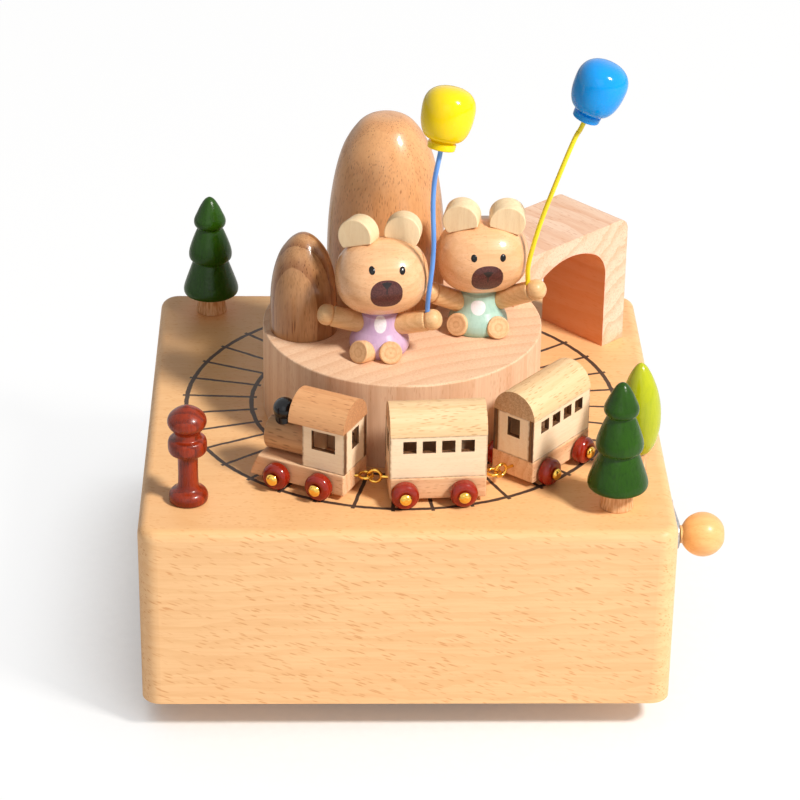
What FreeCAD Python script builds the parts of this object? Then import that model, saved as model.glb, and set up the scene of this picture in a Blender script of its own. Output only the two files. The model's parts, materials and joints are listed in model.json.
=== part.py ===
import FreeCAD, Part
import math
import os
import Sketcher
from FreeCAD import Placement, Rotation, Vector

# Wooden music box, millimetres. Origin: middle of the base's underside.
# +Z is up, +X is towards the crank and -Y is the front.

doc = FreeCAD.newDocument("music_box")
sheet = doc.addObject("Spreadsheet::Sheet", "Sizes")
sheet.setColumnWidth("A", 200)


class Size:
    """A number together with the spreadsheet expression that gives it."""

    def __init__(self, value, text):
        self.value = float(value)
        self.text = text

    def __float__(self):
        return self.value

    def __neg__(self):
        return Size(-self.value, f"(-1 * {self.text})")

    def __add__(self, other):
        return Size(self.value + float(other), f"({self.text} + {words(other)})")

    def __radd__(self, other):
        return Size(float(other) + self.value, f"({words(other)} + {self.text})")

    def __sub__(self, other):
        return Size(self.value - float(other), f"({self.text} - {words(other)})")

    def __rsub__(self, other):
        return Size(float(other) - self.value, f"({words(other)} - {self.text})")

    def __mul__(self, other):
        return Size(self.value * float(other), f"({self.text} * {words(other)})")

    def __rmul__(self, other):
        return Size(float(other) * self.value, f"({words(other)} * {self.text})")

    def __truediv__(self, other):
        return Size(self.value / float(other), f"({self.text} / {words(other)})")

    def __rtruediv__(self, other):
        return Size(float(other) / self.value, f"({words(other)} / {self.text})")


def words(number):
    """The text of a number in an expression."""
    if isinstance(number, Size):
        return number.text
    return f"({float(number):.9g})"


def size(alias, value, note):
    """Enter a driving dimension in the sheet and return it."""
    row = size.row
    size.row += 1
    sheet.set(f"A{row}", note)
    sheet.set(f"B{row}", f"{value:.6g}")
    sheet.setAlias(f"B{row}", alias)
    return Size(value, f"Sizes.{alias}")


size.row = 1


def cosine(angle):
    return Size(math.cos(math.radians(float(angle))), f"cos({words(angle)} * 1 deg)")


def sine(angle):
    return Size(math.sin(math.radians(float(angle))), f"sin({words(angle)} * 1 deg)")


def root(number):
    return Size(math.sqrt(float(number)), f"sqrt({words(number)})")


# Base and its works' cavity
base_width = size("base_width", 120, "base block, along X")
base_depth = size("base_depth", 120, "base block, along Y")
base_height = size("base_height", 44.8, "base block, underside to deck")
base_corner = size("base_corner", 4.5, "radius of the upright corners")
base_edge = size("base_edge", 2.3, "round on the top edge")
deck_thickness = size("deck_thickness", 4, "wood between the cavity and the deck")
ring_x = size("ring_x", -0.4, "middle of the track ring, along X")
ring_y = size("ring_y", 1.8, "middle of the track ring, along Y")
cavity_radius = size("cavity_radius", 48, "round cavity in the base")
plate_radius = size("plate_radius", 54, "round bottom plate")
plate_thickness = size("plate_thickness", 3, "bottom plate")
plate_gap = size("plate_gap", 0.3, "play round the bottom plate")
screw_radius = size("screw_radius", 1.2, "shank of the small wood screws")
screw_head_radius = size("screw_head_radius", 2.2, "head of the small wood screws")
screw_head_height = size("screw_head_height", 1.2, "head of the small wood screws")
screw_length = size("screw_length", 9, "small wood screws, with head")
plate_screw_ring = size("plate_screw_ring", 51, "plate screws from the ring's middle")
foot_radius = size("foot_radius", 4.75, "round feet")
foot_height = size("foot_height", 7.5, "round feet")
foot_ring = size("foot_ring", 49, "feet from the ring's middle")
peg_radius = size("peg_radius", 2, "pegs that hold feet and heads")
fit = size("fit", 0.05, "play of pegs, nails and screws in their holes")
foot_angle = size("foot_angle", -65, "first foot, round the ring's middle")
cavity_top = base_height - deck_thickness

# Things standing on the deck
platform_radius = size("platform_radius", 32.7, "round platform")
platform_height = size("platform_height", 21.4, "round platform")
platform_edge = size("platform_edge", 0.4, "broken edge of the platform")
large_dome_radius = size("large_dome_radius", 13.93, "large dome, widest")
large_dome_height = size("large_dome_height", 46.1, "large dome")
large_dome_x = size("large_dome_x", -4.2, "large dome, along X")
large_dome_y = size("large_dome_y", 16, "large dome, along Y")
small_dome_radius = size("small_dome_radius", 7.8, "small dome, widest")
small_dome_height = size("small_dome_height", 24.4, "small dome")
small_dome_x = size("small_dome_x", -23.5, "small dome, along X")
small_dome_y = size("small_dome_y", -1.9, "small dome, along Y")
tunnel_angle = size("tunnel_angle", 42.5, "tunnel's place round the ring")
tunnel_wall = size("tunnel_wall", 7.4, "tunnel legs")
tunnel_opening = size("tunnel_opening", 25.4, "width of the arch")
tunnel_reach = size("tunnel_reach", 56.4, "outer side of the arch from the ring's middle")
tunnel_length = size("tunnel_length", 20.5, "tunnel, along the track")
tunnel_front = size("tunnel_front", -12.7, "front face from the ring's middle, along the track")
tunnel_height = size("tunnel_height", 32.8, "tunnel, above the deck")
tunnel_corner = size("tunnel_corner", 3.2, "rounded top corners of the tunnel")
arch_spring = size("arch_spring", 20, "where the arch starts to curve")
arch_height = size("arch_height", 28.5, "top of the arch")
pine_height = size("pine_height", 31.2, "pine trees")
pine_radius = size("pine_radius", 6.95, "pine trees, widest")
back_pine_x = size("back_pine_x", -47.1, "back pine, along X")
back_pine_y = size("back_pine_y", 50.3, "back pine, along Y")
front_pine_x = size("front_pine_x", 46.8, "front pine, along X")
front_pine_y = size("front_pine_y", -47.5, "front pine, along Y")
bush_height = size("bush_height", 27.6, "round tree")
bush_radius = size("bush_radius", 4.8, "round tree, widest")
bush_x = size("bush_x", 53.2, "round tree, along X")
bush_y = size("bush_y", -31.5, "round tree, along Y")
post_height = size("post_height", 24, "signal post")
post_radius = size("post_radius", 4.45, "signal post, widest")
post_x = size("post_x", -49, "signal post, along X")
post_y = size("post_y", -45, "signal post, along Y")

# Bears
head_length = size("head_length", 21.3, "bear's head, ear side to ear side")
head_radius = size("head_radius", 8.95, "bear's head")
head_lift = size("head_lift", 18.4, "middle of the head above the platform")
ear_radius = size("ear_radius", 4.15, "ears")
ear_thickness = size("ear_thickness", 4.6, "ears")
bell_radius = size("bell_radius", 6.9, "bear's body, widest")
neck_radius = size("neck_radius", 3.6, "bear's neck")
limb_radius = size("limb_radius", 2.45, "arms")
leg_radius = size("leg_radius", 2.65, "legs")
bear_turn = size("bear_turn", 8, "how far the bears look to the right")
lilac_x = size("lilac_x", -6, "lilac bear, along X")
lilac_y = size("lilac_y", -11.8, "lilac bear, along Y")
mint_x = size("mint_x", 17.2, "mint bear, along X")
mint_y = size("mint_y", -0.6, "mint bear, along Y")
wire_radius = size("wire_radius", 0.55, "balloon wires")
balloon_radius = size("balloon_radius", 5.97, "balloons")
balloon_length = size("balloon_length", 12.2, "balloons without the neck")

# Train
track_radius = size("track_radius", 43.3, "middle of the track")
car_length = size("car_length", 21.7, "coach chassis")
loco_length = size("loco_length", 24, "locomotive chassis at its foot")
chassis_width = size("chassis_width", 11.6, "chassis of all cars")
chassis_base = size("chassis_base", 1.3, "chassis above the deck")
chassis_height = size("chassis_height", 5.3, "chassis")
wall_width = size("wall_width", 11.1, "car walls, outside")
wall_thickness = size("wall_thickness", 1.2, "car walls")
wall_top = size("wall_top", 17, "top of the car walls above the deck")
window_side = size("window_side", 3, "coach windows")
window_rows = 4
window_pitch = size("window_pitch", 4.33, "coach windows")
window_sill = size("window_sill", 12.9, "coach window sills above the deck")
coach_roof_radius = size("coach_roof_radius", 5.65, "coach roofs")
cab_roof_radius = size("cab_roof_radius", 5.9, "cab roof")
wheel_radius = size("wheel_radius", 3.15, "wheels")
wheel_thickness = size("wheel_thickness", 2.8, "wheels")
wheel_gap = size("wheel_gap", 0.3, "between chassis and wheel, and wheel and nail head")
wheel_play = size("wheel_play", 0.06, "running play of a wheel on its nail")
wheel_base = size("wheel_base", 13.2, "between a coach's front and rear wheels")
loco_wheel_base = size("loco_wheel_base", 10.72, "between the locomotive's front and rear wheels")
nail_radius = size("nail_radius", 0.6, "shank of the wheel nails")
nail_head_radius = size("nail_head_radius", 1.4, "head of the wheel nails")
nail_head_height = size("nail_head_height", 0.9, "head of the wheel nails")
nail_depth = size("nail_depth", 3.5, "nail inside the chassis")
boiler_radius = size("boiler_radius", 3.9, "boiler")
chimney_radius = size("chimney_radius", 2.65, "chimney ball")
loco_angle = size("loco_angle", -120.5, "locomotive, round the ring")
coach_1_angle = size("coach_1_angle", -81, "coach 1, round the ring")
coach_2_angle = size("coach_2_angle", -43.8, "coach 2, round the ring")
loco_yaw = size("loco_yaw", 3.2, "locomotive, turned off the track's line")
coach_1_yaw = size("coach_1_yaw", -4.7, "coach 1, turned off the track's line")
coach_2_yaw = size("coach_2_yaw", 4.1, "coach 2, turned off the track's line")
magnet_radius = size("magnet_radius", 3.2, "magnets")
magnet_height = size("magnet_height", 2.2, "magnets")

# Works
shaft_radius = size("shaft_radius", 2, "crank shaft")
shaft_height = size("shaft_height", 23.5, "crank shaft above the underside")
shaft_play = size("shaft_play", 0.06, "running play of shafts")
tooth_pitch = size("tooth_pitch", 3.1416, "from tooth to tooth, and lead of the worms")
spindle_teeth = 24
cylinder_teeth = 14
worm_pitch_radius = size("worm_pitch_radius", 3, "worms")
tooth_height = size("tooth_height", 0.8, "tooth above its pitch line")
tooth_root = size("tooth_root", 1.0, "tooth below its pitch line")
worm_turns = 4
thread_width = size("thread_width", 0.9, "worm thread at its pitch line")
tooth_width = size("tooth_width", 1.14, "wheel teeth at their pitch line")
flank = size("flank", 0.32, "slope of worm and wheel flanks")
wheel_width = size("wheel_width", 3, "worm wheels")
cylinder_x = size("cylinder_x", 14, "pin cylinder, along X")
cylinder_radius = size("cylinder_radius", 6.4, "pin cylinder")
cylinder_length = size("cylinder_length", 20, "pin cylinder")
arbor_radius = size("arbor_radius", 1.2, "cylinder's arbor")
pin_radius = size("pin_radius", 0.3, "pins on the cylinder")
pin_height = size("pin_height", 0.6, "pins on the cylinder")
pin_gap = size("pin_gap", 0.3, "between pins and comb")
comb_thickness = size("comb_thickness", 1.2, "comb")
comb_teeth = 18
comb_pitch = size("comb_pitch", 1, "between comb teeth")
comb_tooth_length = size("comb_tooth_length", 9, "teeth of the comb")
bed_thickness = size("bed_thickness", 2, "plate of the movement bed")
spindle_radius = size("spindle_radius", 1.5, "spindle")
arm_thickness = size("arm_thickness", 2, "magnet arm")
arm_width = size("arm_width", 8, "magnet arm")
magnet_clearance = size("magnet_clearance", 0.5, "between the arm's magnet and the deck's underside")
crank_radius = size("crank_radius", 17.5, "crank shaft to knob")
crank_angle = size("crank_angle", 168.2, "crank arm from +Y, turning towards +Z")
crank_thickness = size("crank_thickness", 2.7, "crank arm")
crank_width = size("crank_width", 7, "crank arm")
crank_gap = size("crank_gap", 0.8, "between the base's wall and the crank arm")
knob_radius = size("knob_radius", 5.2, "ball knob")
knob_neck_radius = size("knob_neck_radius", 2.1, "neck of the knob")
knob_neck = size("knob_neck", 5.6, "from the crank arm to the middle of the ball")
knob_pin_radius = size("knob_pin_radius", 0.9, "knob's pin")
tip_flat = size("tip_flat", 0.2, "tiny flat where a rounded end meets its axis")

solids = []


def keep(thing, label):
    """Name a finished sub-part."""
    thing.Label = label
    solids.append(thing)
    return thing


def bind(thing, name, value):
    """Tie a property to the sheet."""
    if isinstance(value, Size):
        thing.setExpression(name, value.text)
    else:
        setattr(thing, name, value)


def new_body(name):
    return doc.addObject("PartDesign::Body", name)


def origin_plane(body, role):
    return next(item for item in body.Origin.OriginFeatures if item.Role == role)


def new_sketch(body, role, lift):
    """A sketch on one of the body's own planes, moved along its normal by lift."""
    sketch = body.newObject("Sketcher::SketchObject", "Outline")
    sketch.AttachmentSupport = (origin_plane(body, role), [""])
    sketch.MapMode = "FlatFace"
    sketch.AttachmentOffset = Placement(Vector(0, 0, float(lift)), Rotation())
    if isinstance(lift, Size):
        sketch.setExpression("AttachmentOffset.Base.z", lift.text)
    return sketch


def draw(body, *outlines, role="XY_Plane", lift=0):
    """Closed outlines: each step is a point (line to it) or a middle and an end point (arc to it)."""
    sketch = new_sketch(body, role, lift)
    for steps in outlines:
        outline(sketch, steps)
    return sketch


def outline(sketch, steps):
    """Lines and arcs whose every point is held at its own two coordinates."""
    here = steps[0]
    pieces = []
    marks = []
    closed = max(abs(float(a) - float(b)) for a, b in zip(steps[-1][-2:], steps[0])) < 1e-9
    for step in list(steps[1:]) + ([] if closed else [steps[0]]):
        there = step[-2:]
        p = Vector(float(here[0]), float(here[1]), 0)
        q = Vector(float(there[0]), float(there[1]), 0)
        ends = (1, 2)
        if len(step) == 4:
            middle = Vector(float(step[0]), float(step[1]), 0)
            if (middle - p).cross(q - middle).z < 0:
                p, q, ends = q, p, (2, 1)
            number = sketch.addGeometry(Part.Arc(p, middle, q), False)
            marks.append((sketch.addGeometry(Part.Point(middle), True), number, step[:2]))
        else:
            number = sketch.addGeometry(Part.LineSegment(p, q), False)
        pieces.append((number, ends, there))
        here = there
    held = Holding(sketch)
    for (number, ends, there), (follower, follower_ends, _) in zip(pieces, pieces[1:] + pieces[:1]):
        held.add("Coincident", number, ends[1], follower, follower_ends[0])
        held.point(number, ends[1], there)
    for mark, arc, middle in marks:
        held.point(mark, 1, middle)
        held.add("PointOnObject", mark, 1, arc)
    held.finish()


class Holding:
    """Constraints of a sketch, put in together, then tied to the sheet."""

    def __init__(self, sketch):
        self.sketch = sketch
        self.constraints = []
        self.bound = []

    def add(self, *what):
        self.constraints.append(Sketcher.Constraint(*what))

    def measure(self, value, *what):
        if isinstance(value, Size):
            self.bound.append((len(self.constraints), value.text))
        self.add(*what, float(value))

    def point(self, number, end, place_of_it):
        for kind, value in zip(("DistanceX", "DistanceY"), place_of_it):
            self.measure(value, kind, -1, 1, number, end)

    def finish(self):
        first = self.sketch.ConstraintCount
        self.sketch.addConstraint(self.constraints)
        for number, text in self.bound:
            self.sketch.setExpression(f"Constraints[{first + number}]", text)


def circles(body, radius, centres=((0, 0),), role="XY_Plane", lift=0):
    """Round outlines of one radius."""
    sketch = new_sketch(body, role, lift)
    held = Holding(sketch)
    for centre in centres:
        middle = Vector(float(centre[0]), float(centre[1]), 0)
        number = sketch.addGeometry(Part.Circle(middle, Vector(0, 0, 1), float(radius)), False)
        held.measure(radius, "Radius", number)
        held.point(number, 3, centre)
    held.finish()
    return sketch


def rectangle(x, y, width, depth):
    """Corner points of a rectangle about (x, y)."""
    left, right, low, high = x - width / 2, x + width / 2, y - depth / 2, y + depth / 2
    return [(left, low), (right, low), (right, high), (left, high)]


def pad(body, sketch, length, reverse=False):
    feature = body.newObject("PartDesign::Pad", "Pad")
    feature.Profile = sketch
    bind(feature, "Length", length)
    feature.Reversed = reverse
    sketch.Visibility = False
    return feature


def pocket(body, sketch, length, reverse=False):
    """Cut a pocket, and make sure that it takes something away."""
    doc.recompute()
    before = body.Shape.Volume
    feature = body.newObject("PartDesign::Pocket", "Pocket")
    feature.Profile = sketch
    bind(feature, "Length", length)
    feature.Reversed = reverse
    doc.recompute()
    if body.Shape.Volume > before - 1e-6:
        raise ValueError(f"a pocket of {body.Name} cuts nothing")
    return feature


def turn(body, steps, role="XZ_Plane"):
    """Turn an outline about the upright axis of its sketch."""
    sketch = draw(body, steps, role=role)
    feature = body.newObject("PartDesign::Revolution", "Turning")
    feature.Profile = sketch
    feature.ReferenceAxis = (sketch, ["V_Axis"])
    feature.Angle = 360
    return feature


def turned(name, steps):
    """Turn an outline about Z; an arc that reaches the axis stops at a tiny flat."""
    eased = [steps[0]] if len(steps[1]) == 2 else [steps[0], (tip_flat, steps[0][1])]
    for step in steps[1:]:
        if len(step) == 4 and abs(float(step[2])) < 1e-9:
            eased += [(step[0], step[1], tip_flat, step[3]), step[2:]]
        else:
            eased.append(step)
    body = new_body(name)
    turn(body, eased)
    return body


def rounded(body, radius, chosen):
    """Round the edges that chosen accepts."""
    doc.recompute()
    base = body.Tip
    edges = [f"Edge{i + 1}" for i, edge in enumerate(base.Shape.Edges) if chosen(edge)]
    feature = body.newObject("PartDesign::Fillet", "Round")
    feature.Base = (base, edges)
    bind(feature, "Radius", radius)
    return feature


def place(thing, x=0, y=0, z=0, rotation=None):
    """Set a placement, with its position tied to the sheet."""
    thing.Placement = Placement(Vector(float(x), float(y), float(z)), rotation or Rotation())
    for axis, value in zip("xyz", (x, y, z)):
        if isinstance(value, Size):
            thing.setExpression(f"Placement.Base.{axis}", value.text)
    return thing


def about_z(angle):
    return Rotation(Vector(0, 0, 1), float(angle))


def about_x(angle):
    return Rotation(Vector(1, 0, 0), float(angle))


def group(label, things):
    """Several like solids in one node."""
    whole = doc.addObject("Part::Compound", label)
    whole.Links = things
    return keep(whole, label)


def upright(edge):
    a, b = edge.firstVertex().Point, edge.lastVertex().Point
    return math.hypot(a.x - b.x, a.y - b.y) < 1e-6 and abs(a.z - b.z) > 1e-3


def level_at(z):
    return lambda edge: edge.Vertexes and all(abs(vertex.Z - float(z)) < 1e-6 for vertex in edge.Vertexes)


def fitted(part, *others):
    """The part with the shapes of what sits in it taken away."""
    tool = others[0]
    if len(others) > 1:
        tool = doc.addObject("Part::Compound", "Inserts")
        tool.Links = list(others)
    cut = doc.addObject("Part::Cut", "Fitted")
    cut.Base = part
    cut.Tool = tool
    return cut


def joined(*parts):
    fusion = doc.addObject("Part::MultiFuse", "Joined")
    fusion.Shapes = list(parts)
    return fusion


def along(start, direction):
    """A placement whose Z runs along direction."""
    return Placement(Vector(*map(float, start)), Rotation(Vector(0, 0, 1), Vector(*map(float, direction))))


def rod(radius, length, placement):
    cylinder = doc.addObject("Part::Cylinder", "Rod")
    bind(cylinder, "Radius", radius)
    bind(cylinder, "Height", length)
    cylinder.Placement = placement
    return cylinder


def polar(radius, angle):
    """A point round the ring's middle."""
    return ring_x + radius * cosine(angle), ring_y + radius * sine(angle)


def scaled(steps, width, height, side=0, foot=0):
    """Outline steps given as parts of a width and a height, measured from side and foot."""
    return [tuple(foot + value * height if i % 2 else side + value * width for i, value in enumerate(step))
            for step in steps]


def in_arcs(marks):
    """Arc steps through an odd number of points; the first is where the outline already is."""
    return [tuple(middle) + tuple(end) for middle, end in zip(marks[1::2], marks[2::2])]


def bulge(power, start, end, arcs):
    """Arc steps round an oval from one angle to another; 2 is an ellipse, a higher power is squarer."""
    marks = []
    for i in range(2 * arcs + 1):
        angle = math.radians(start + (end - start) * i / (2 * arcs))
        ways = (math.cos(angle), math.sin(angle))
        marks.append([math.copysign(abs(way) ** (2 / power), way) for way in ways])
    return in_arcs(marks)


def curved(points, leave, arrive, arcs=1):
    """Arc steps along a smooth curve through points, so many to each stretch, with its ways at both ends."""
    marks = [Vector(*point, 0) for point in points]
    spans = [end - start for start, end in zip(marks, marks[1:])]
    bends = [back / back.Length ** 2 + ahead / ahead.Length ** 2 for back, ahead in zip(spans, spans[1:])]
    ways = [Vector(*leave, 0)] + bends + [Vector(*arrive, 0)]
    on_curve = [points[0]]
    for start, end, out, into in zip(marks, marks[1:], ways, ways[1:]):
        pull = (end - start).Length / 3
        stretch = Part.BezierCurve()
        stretch.setPoles([start, start + out / out.Length * pull, end - into / into.Length * pull, end])
        on_curve += [(mark.x, mark.y) for mark in stretch.discretize(Number=2 * arcs + 1)[1:]]
    return in_arcs(on_curve)


deck = base_height
platform_top = base_height + platform_height
spindle_pitch_radius = tooth_pitch * (spindle_teeth / (2 * math.pi))
cylinder_pitch_radius = tooth_pitch * (cylinder_teeth / (2 * math.pi))
shaft_y = ring_y - spindle_pitch_radius - worm_pitch_radius
cylinder_z = shaft_height - cylinder_pitch_radius - worm_pitch_radius
ring_middle = [(ring_x, ring_y)]
foot_places = [polar(foot_ring, foot_angle + 90 * i) for i in range(4)]
screw_places = [polar(plate_screw_ring, foot_angle + 45 + 90 * i) for i in range(4)]

# Base, bottom plate, feet and screws
screw_sink = size("screw_sink", 0.2, "plate screws below the plate's face")
bore_depth = size("bore_depth", 1.8, "spindle in the deck and in the bottom plate")
bush_wall = size("bush_wall", 1.5, "wall of the shaft's bush")
bush_flange = size("bush_flange", 0.5, "flange of the shaft's bush")
peg_length = size("peg_length", 2.3, "pegs of the feet")
slot_width = size("slot_width", 0.6, "slots of the screws")
slot_depth = size("slot_depth", 0.5, "slots of the screws")
foot_round = size("foot_round", 0.8, "rounded foot edges")
bush_radius_outside = shaft_radius + shaft_play + bush_wall

base = new_body("Base")
pad(base, draw(base, rectangle(0, 0, base_width, base_depth)), base_height)
rounded(base, base_corner, upright)
rounded(base, base_edge, level_at(base_height))
pocket(base, circles(base, cavity_radius, ring_middle), cavity_top, True)
pocket(base, circles(base, plate_radius + plate_gap, ring_middle), plate_thickness, True)
pocket(base, circles(base, spindle_radius + shaft_play, ring_middle), cavity_top + bore_depth, True)
pocket(base, circles(base, screw_radius + fit, screw_places), screw_sink + screw_length + fit, True)
side = circles(base, bush_radius_outside + fit, [(shaft_y, shaft_height)], "YZ_Plane", base_width / 2)
pocket(base, side, base_width / 2 - ring_x)
keep(base, "base")

plate = new_body("Plate")
pad(plate, circles(plate, plate_radius, ring_middle), plate_thickness)
pocket(plate, circles(plate, screw_radius + fit, screw_places), plate_thickness, True)
head_clearance = screw_head_radius + plate_gap
pocket(plate, circles(plate, head_clearance, screw_places), screw_sink + screw_head_height, True)
pocket(plate, circles(plate, peg_radius + fit, foot_places), peg_length + fit, True)
pocket(plate, circles(plate, spindle_radius + shaft_play, ring_middle, lift=plate_thickness), bore_depth)
keep(plate, "bottom_plate")


def wood_screw(x, y, z, rotation=None):
    """A slotted screw that points up from (x, y, z)."""
    tip = screw_length - screw_radius * 2
    body = turned("Screw", [(0, 0), (screw_head_radius, 0), (screw_head_radius, screw_head_height),
                            (screw_radius, screw_head_height), (screw_radius, tip), (0, screw_length)])
    pocket(body, draw(body, rectangle(0, 0, screw_head_radius * 3, slot_width)), slot_depth, True)
    return place(body, x, y, z, rotation)


def foot(x, y):
    body = turned("Foot", [(0, 0), (foot_radius - foot_round, 0),
                           (foot_radius - foot_round * 0.293, foot_round * 0.293, foot_radius, foot_round),
                           (foot_radius, foot_height), (peg_radius, foot_height),
                           (peg_radius, foot_height + peg_length), (0, foot_height + peg_length)])
    return place(body, x, y, -foot_height)


group("bottom_screws", [wood_screw(x, y, screw_sink) for x, y in screw_places])
group("feet", [foot(x, y) for x, y in foot_places])

to_right = Rotation(Vector(0, 1, 0), 90)
bush_inside = ring_x + root(cavity_radius * cavity_radius - (ring_y - shaft_y) * (ring_y - shaft_y)) - 1
bush_bore = shaft_radius + shaft_play
bush_length = base_width / 2 - bush_inside
bush = turned("Bush", [(bush_bore, 0), (bush_radius_outside, 0), (bush_radius_outside, bush_length),
                       (bush_radius_outside + bush_wall, bush_length),
                       (bush_radius_outside + bush_wall, bush_length + bush_flange),
                       (bush_bore, bush_length + bush_flange)])
keep(place(bush, bush_inside, shaft_y, shaft_height, to_right), "shaft_bush")

# Platform, domes, tunnel, trees and signal post
platform = new_body("Platform")
pad(platform, circles(platform, platform_radius), platform_height)
rounded(platform, platform_edge, level_at(platform_height))
keep(place(platform, ring_x, ring_y, deck), "platform")


def dome(label, radius, height, x, y, points):
    """A dome that rises straight from the platform, then rounds in through points."""
    straight = (1, 0.2)
    steps = [(0, 0), (1, 0), straight] + curved([straight] + points + [(0, 1)], (0, 1), (-1, 0), 2)
    keep(place(turned(label, scaled(steps, radius, height)), x, y, platform_top), label)


dome("large_dome", large_dome_radius, large_dome_height, large_dome_x, large_dome_y,
     [(0.935, 0.555), (0.77, 0.795), (0.5, 0.944)])
dome("small_dome", small_dome_radius, small_dome_height, small_dome_x, small_dome_y,
     [(0.93, 0.545), (0.77, 0.745), (0.477, 0.905)])

arch_middle = tunnel_reach - tunnel_opening / 2
inner_leg = size("inner_leg", 6.6, "tunnel leg on the platform")


def arch_point(turn_of_it):
    return (arch_middle + tunnel_opening / 2 * cosine(turn_of_it),
            arch_spring + (arch_height - arch_spring) * sine(turn_of_it))


tunnel_outside = tunnel_reach + tunnel_wall
tunnel_inside = tunnel_reach - tunnel_opening - inner_leg
tunnel_back = tunnel_front + tunnel_length
tunnel = new_body("Tunnel")
pad(tunnel, draw(tunnel, [
    (tunnel_reach, 0), (tunnel_outside, 0), (tunnel_outside, tunnel_height - tunnel_corner),
    (tunnel_outside - tunnel_corner * 0.293, tunnel_height - tunnel_corner * 0.293,
     tunnel_outside - tunnel_corner, tunnel_height),
    (tunnel_inside + tunnel_corner, tunnel_height),
    (tunnel_inside + tunnel_corner * 0.293, tunnel_height - tunnel_corner * 0.293,
     tunnel_inside, tunnel_height - tunnel_corner),
    (tunnel_inside, 0), (tunnel_reach - tunnel_opening, 0), (tunnel_reach - tunnel_opening, arch_spring),
    arch_point(155) + arch_point(128), arch_point(90) + arch_point(52), arch_point(25) + arch_point(0)],
    role="XZ_Plane", lift=-tunnel_back), tunnel_length)
under = draw(tunnel, [(tunnel_inside - 1, -1), (arch_middle, -1), (arch_middle, platform_height),
                      (tunnel_inside - 1, platform_height)], role="XZ_Plane", lift=-tunnel_back)
pocket(tunnel, under, tunnel_length, True)
keep(place(tunnel, ring_x, ring_y, deck, about_z(tunnel_angle)), "tunnel_block")

tiers = [[(0.82, 0.17), (0.975, 0.19), (0.98, 0.235), (0.86, 0.315), (0.73, 0.4), (0.6, 0.488)],
         [(0.66, 0.49), (0.76, 0.51), (0.765, 0.55), (0.66, 0.615), (0.55, 0.69), (0.44, 0.765)],
         [(0.49, 0.767), (0.57, 0.787), (0.575, 0.82), (0.4, 0.89), (0.2, 0.962), (0, 1)]]
pine_steps = [(0, 0), (0.56, 0), (0.47, 0.168)]
for tier in tiers:
    pine_steps += [tier[0]] + curved(tier, (1, 0.1), (-1, 0.7 if tier[-1][0] else 0))


def pine(x, y):
    return place(turned("Pine", scaled(pine_steps, pine_radius, pine_height)), x, y, deck)


group("pine_trees", [pine(back_pine_x, back_pine_y), pine(front_pine_x, front_pine_y)])
crown = [(0.33, 0.17), (0.62, 0.22), (0.87, 0.33), (0.985, 0.46), (0.98, 0.58), (0.88, 0.7), (0.68, 0.82),
         (0.4, 0.93), (0.15, 0.988), (0, 1)]
bush_steps = [(0, 0), (0.4, 0), crown[0]] + curved(crown, (1, 0.05), (-1, 0))
round_tree = turned("RoundTree", scaled(bush_steps, bush_radius, bush_height))
tree_lean = size("tree_lean", 1.5, "round tree leaning to the left, in degrees")
keep(place(round_tree, bush_x, bush_y, deck + bush_radius * 0.4 * sine(tree_lean),
           Rotation(Vector(0, 1, 0), -float(tree_lean))), "round_tree")
post_foot = [(0.9, 0), (0.99, 0.03), (0.99, 0.085), (0.86, 0.125)]
post_cap = [(0.88, 0.79), (0.98, 0.815), (0.98, 0.855), (0.8, 0.915), (0.5, 0.955), (0.2, 0.978), (0, 1)]
post_steps = ([(0, 0), post_foot[0]] + curved(post_foot, (1, 0.1), (-1, 0.25)) +
              [(0.66, 0.13), (0.54, 0.145, 0.5, 0.19), (0.5, 0.51), (0.88, 0.515), (0.96, 0.523, 0.97, 0.55),
               (0.97, 0.61), (0.96, 0.637, 0.88, 0.645), (0.62, 0.647), (0.585, 0.71, 0.62, 0.78),
               post_cap[0]] +
              curved(post_cap, (1, 0.15), (-1, 0.35)))
keep(place(turned("Post", scaled(post_steps, post_radius, post_height)), post_x, post_y, deck), "signal_post")

# Bears and balloons
lilac_head_shift = size("lilac_head_shift", 0.4, "lilac bear's head to the right of its body")
mint_head_shift = size("mint_head_shift", 0.65, "mint bear's head to the right of its body")
head_square = 2.4
ear_spread = size("ear_spread", 5.2, "ears from the head's middle")
ear_splay = size("ear_splay", 18, "ears rolled outward")
ear_flat = size("ear_flat", 2.2, "middle of an ear above the flat it is glued on")
ear_round = size("ear_round", 0.3, "rounded front edges of the ears")
ear_sink = size("ear_sink", 0.45, "ears let into the head")
groove_depth = size("groove_depth", 0.35, "ring grooves")
hand_length = size("hand_length", 3.4, "rounded hand beyond the groove")
sole_round = size("sole_round", 0.35, "rounded edges of the soles")
bell_height = size("bell_height", 9.7, "bears' bodies without the neck's peg")
neck_peg = size("neck_peg", 2.4, "neck's peg in the head")


def stick(name, steps, start, way, back):
    """A turned stick that begins back behind start and runs along way."""
    body = turned(name, steps)
    body.Placement = along(start - way.normalize() * back, way)
    return body


def limb(start, end, back):
    """A round stick with a groove before its rounded end."""
    way = Vector(*end) - Vector(*start)
    full = way.Length + back
    wrist = full - hand_length
    widest = wrist + hand_length * 0.35
    shoulder = scaled(bulge(2, 0, 90, 1), groove_depth, groove_depth * 1.5, limb_radius - groove_depth,
                      wrist - groove_depth * 1.5)
    palm = scaled(bulge(2, 90, 0, 1), groove_depth, wrist - widest, limb_radius - groove_depth, widest)
    finger = scaled(bulge(2.2, 0, 90, 4), limb_radius, full - widest, 0, widest)
    steps = [(0, 0), (limb_radius, 0), (limb_radius, wrist - groove_depth * 1.5)] + shoulder + palm + finger
    return stick("Limb", steps, Vector(*start), way, back)


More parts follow.
